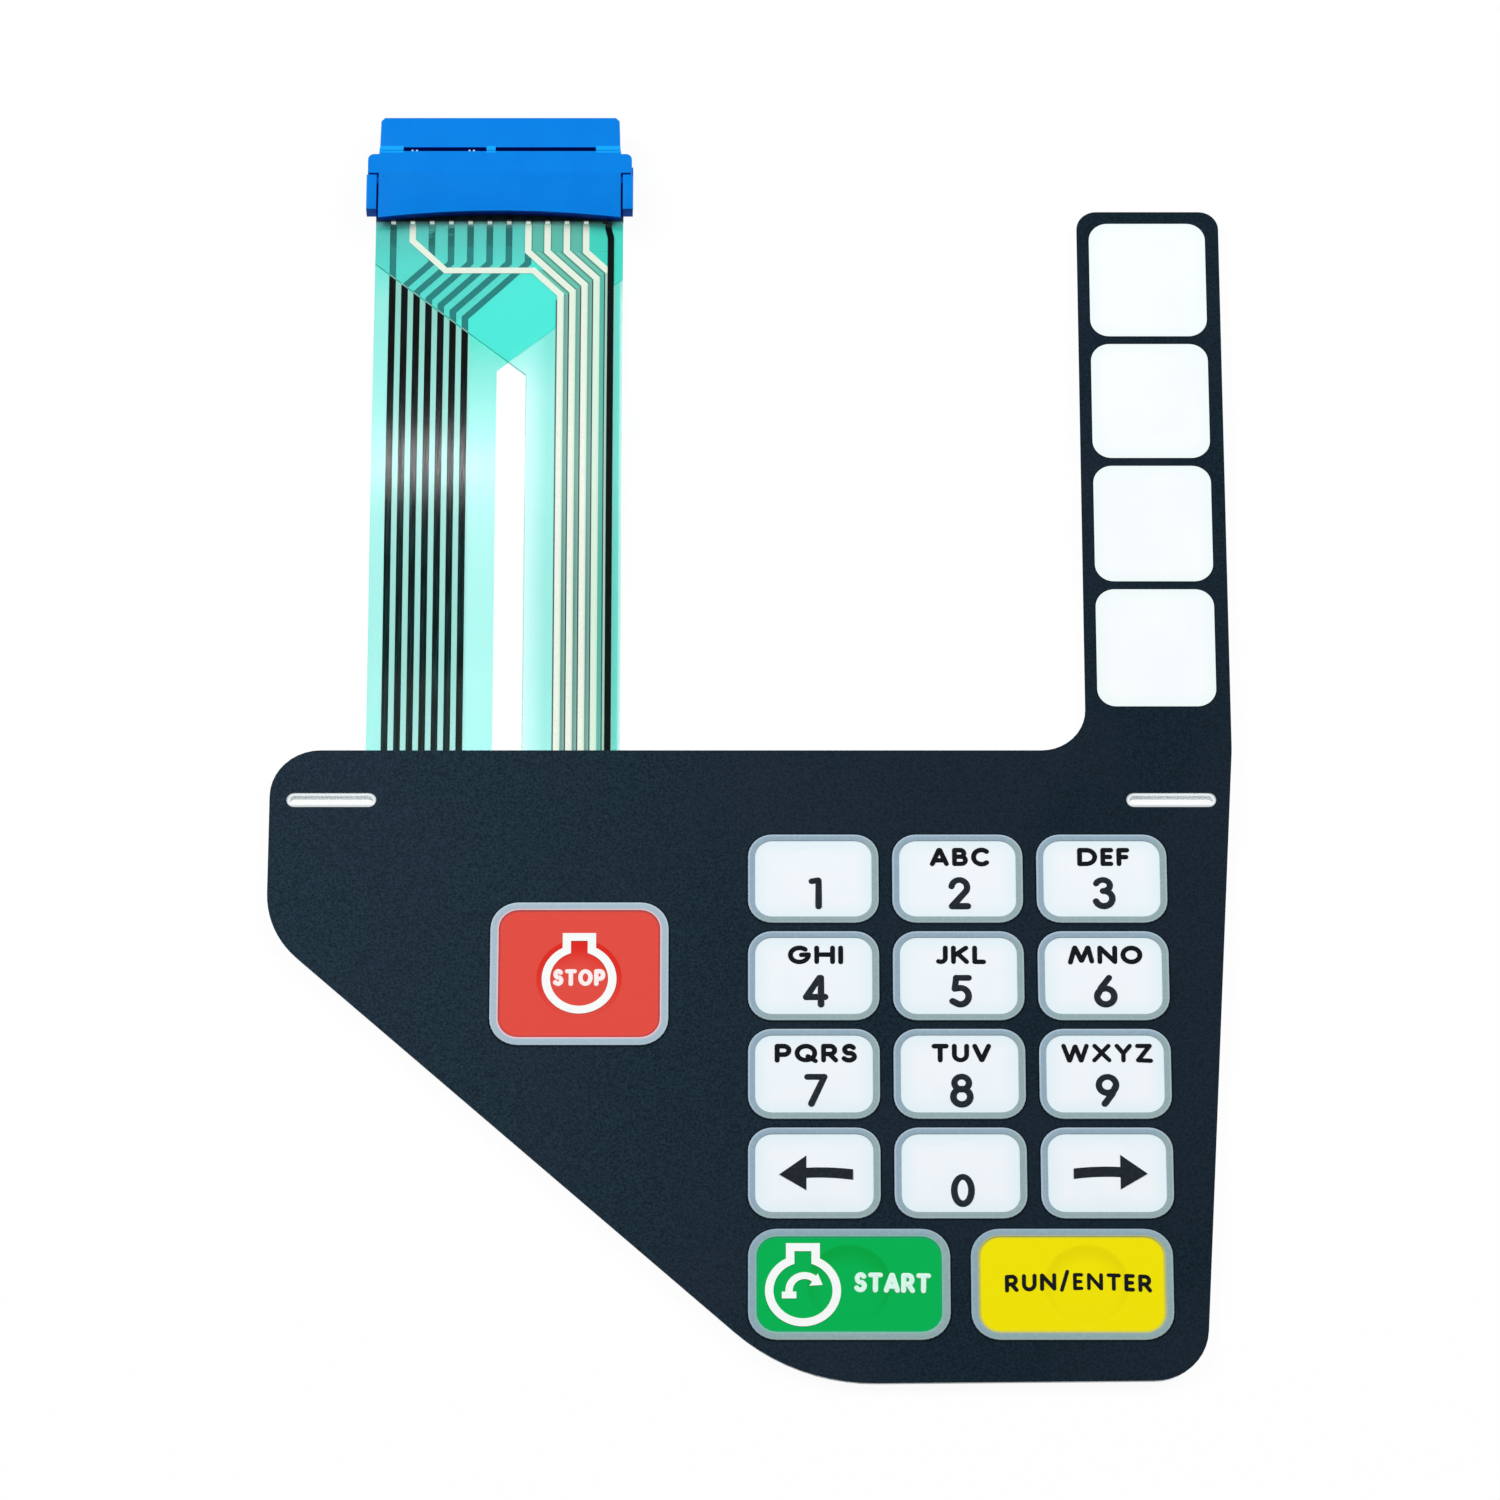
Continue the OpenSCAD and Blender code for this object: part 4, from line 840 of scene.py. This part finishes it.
words = {
    "digit": {"height": 4.46, "stroke": 0.86, "drop": [2.0, 2.11, 2.23, 2.33]},
    "letters": {"height": 2.54, "stroke": 0.63, "rise": [2.99, 2.85, 2.8]},
    "labels": [["1", "2", "3"], ["4", "5", "6"], ["7", "8", "9"], ["", "0", ""]],
    "groups": {"ABC": 7.5, "DEF": 6.65, "GHI": 7.0, "JKL": 6.5, "MNO": 9.45, "PQRS": 10.4,
               "TUV": 7.5, "WXYZ": 11.5},  # words and their widths
    "rows": [["", "ABC", "DEF"], ["GHI", "JKL", "MNO"], ["PQRS", "TUV", "WXYZ"], ["", "", ""]],
    "stop": {"text": "STOP", "at": (-21.8, -33.92), "height": 2.33, "stroke": 0.61, "width": 6.66,
             "gap": 0.13},
    "start": {"text": "START", "at": (17.59, -75.03), "height": 2.67, "stroke": 0.66, "width": 9.6,
              "gap": 0.11, "tilt": -1.0},
    "enter": {"text": "RUN/ENTER", "at": (40.75, -75.14), "height": 2.3, "stroke": 0.5,
              "width": 18.3, "gap": 0.43, "arch": 0.28},
}
darkInk = printFinish("dark_letter_ink", (24, 32, 39), (33, 42, 50))
blackInk = printFinish("black_letter_ink", (1, 5, 11), (6, 11, 17))
pinkInk = printFinish("pink_white_ink", (255, 243, 242), (250, 234, 233))
mintInk = printFinish("mint_white_ink", (224, 251, 240), (210, 246, 231))
digits, groups = [], []
for row, y in enumerate(plan["rows"]):
    for column, x in enumerate(plan["columns"]):
        number, group = words["labels"][row][column], words["rows"][row][column]
        if number:
            digits.append({"text": number, "at": (x + 0.24, y - words["digit"]["drop"][row]),
                           "height": words["digit"]["height"], "stroke": words["digit"]["stroke"]})
        if group:
            groups.append({"text": group, "at": (x + 0.25, y + words["letters"]["rise"][row]),
                           "height": words["letters"]["height"],
                           "stroke": words["letters"]["stroke"] - 0.06 * (group == "WXYZ"),
                           "width": words["groups"][group]})
lettering("key_digits", digits, darkInk)
lettering("key_letters", groups, blackInk)
lettering("stop_word", [words["stop"]], pinkInk)
lettering("start_word", [words["start"]], mintInk)
lettering("enter_words", [words["enter"]], blackInk)
print("lettering made")


# Connector housing with its edges eased

housing = {"edge": 0.12, "shortest": 1.0, "sharp": 50, "lowest": 2.2}  # which edges are eased


def easedHousing():
    bm = bmesh.new()
    bm.from_mesh(nodes["connector_housing"].data)
    bmesh.ops.remove_doubles(bm, verts=bm.verts, dist=1e-6)
    bmesh.ops.dissolve_limit(bm, angle_limit=math.radians(1), verts=bm.verts, edges=bm.edges)
    edges = [e for e in bm.edges if len(e.link_faces) == 2 and e.is_convex
             and e.calc_face_angle(0) > math.radians(housing["sharp"])
             and e.calc_length() > housing["shortest"] * mm
             and min(v.co.z for v in e.verts) > housing["lowest"] * mm]
    bmesh.ops.bevel(bm, geom=edges, offset=housing["edge"] * mm, affect="EDGES",
                    segments=2, profile=0.5, material=-1, clamp_overlap=True)
    piece = finished(bm, "eased_housing", housingFinish(), 30)
    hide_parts("connector_housing")
    return piece


easedHousing()
print("housing made")


# Floor, light and camera

room = {
    "whiteFloor": 0.94,  # the rest of the floor takes the shadows
    "strength": 0.25,
    "lamps": {  # place, size, power and aim
        "left_softbox": ((-0.85, 0.5, 0.9), (0.7, 0.7), 11.3, (0, 0, 0)),
        "right_softbox": ((0.85, 0.45, 0.9), (0.7, 0.7), 9.3, (0, 0, 0)),
        "rear_strip": ((-0.083, 0.462, 0.96), (0.034, 0.075), 0.4, (-0.042, 0.036, 0.002)),
    },
    "lens": 196.06,
    "target": (-0.16, -2.3, 1.4),
    "away": (0, -425.98, 956.76),
}


def makeStage():
    bm = bmesh.new()
    bmesh.ops.create_grid(bm, x_segments=1, y_segments=1, size=3)
    mesh = bpy.data.meshes.new("floor")
    bm.to_mesh(mesh)
    bm.free()
    floor = bpy.data.objects.new("floor", mesh)
    floor.location = (0, 0, -0.0001)
    bpy.context.scene.collection.objects.link(floor)
    f = Finish("pale_floor", Base_Color=colour(252, 253, 254), Roughness=0.9, Specular_IOR_Level=0)
    seen = [f.node("ShaderNodeLightPath", {}, {}, "Is " + ray + " Ray")
            for ray in ("Camera", "Glossy", "Transmission")]
    share = seen[0].math("MAXIMUM", seen[1].math("MAXIMUM", seen[2])) * room["whiteFloor"]
    glow = f.node("ShaderNodeEmission", {}, {"Color": (1, 1, 1, 1)})
    surface = Value(f, f.shader.outputs[0])
    f.node("ShaderNodeOutputMaterial", {"is_active_output": True},
           [f.node("ShaderNodeMixShader", {}, [share, surface, glow])])
    mesh.materials.append(f.material)


def makeWorld():
    world = bpy.data.worlds.new("pale_room")
    bpy.context.scene.world = world
    w = Shading(world)
    w.tree.nodes.clear()
    light = w.node("ShaderNodeBackground", {}, {"Color": (0.96, 0.98, 1, 1),
                                                "Strength": room["strength"]})
    back = w.node("ShaderNodeBackground", {}, {"Color": (1, 1, 1, 1), "Strength": 1.0})
    seen = w.node("ShaderNodeLightPath", {}, {}, "Is Camera Ray")
    w.node("ShaderNodeOutputWorld", {}, [w.node("ShaderNodeMixShader", {}, [seen, light, back])])


def makeLamp(name, place, size, power, aim):
    data = bpy.data.lights.new(name, "AREA")
    data.shape = "RECTANGLE"
    data.size, data.size_y = size
    data.energy = power
    lamp = bpy.data.objects.new(name, data)
    bpy.context.scene.collection.objects.link(lamp)
    lamp.location = place
    lamp.rotation_euler = (Vector(aim) - Vector(place)).to_track_quat("-Z", "Y").to_euler()


def makeCamera():
    data = bpy.data.cameras.new("camera")
    data.lens = room["lens"]
    data.sensor_width = 36
    data.dof.use_dof = False
    data.clip_start, data.clip_end = 0.05, 20
    camera = bpy.data.objects.new("camera", data)
    bpy.context.scene.collection.objects.link(camera)
    target = Vector(room["target"]) * mm
    camera.location = target + Vector(room["away"]) * mm
    camera.rotation_euler = (target - camera.location).to_track_quat("-Z", "Y").to_euler()
    bpy.context.scene.camera = camera


makeStage()
makeWorld()
for name, (place, size, power, aim) in room["lamps"].items():
    makeLamp(name, place, size, power, aim)
makeCamera()
bpy.context.scene.view_settings.view_transform = "Standard"
print("stage made")
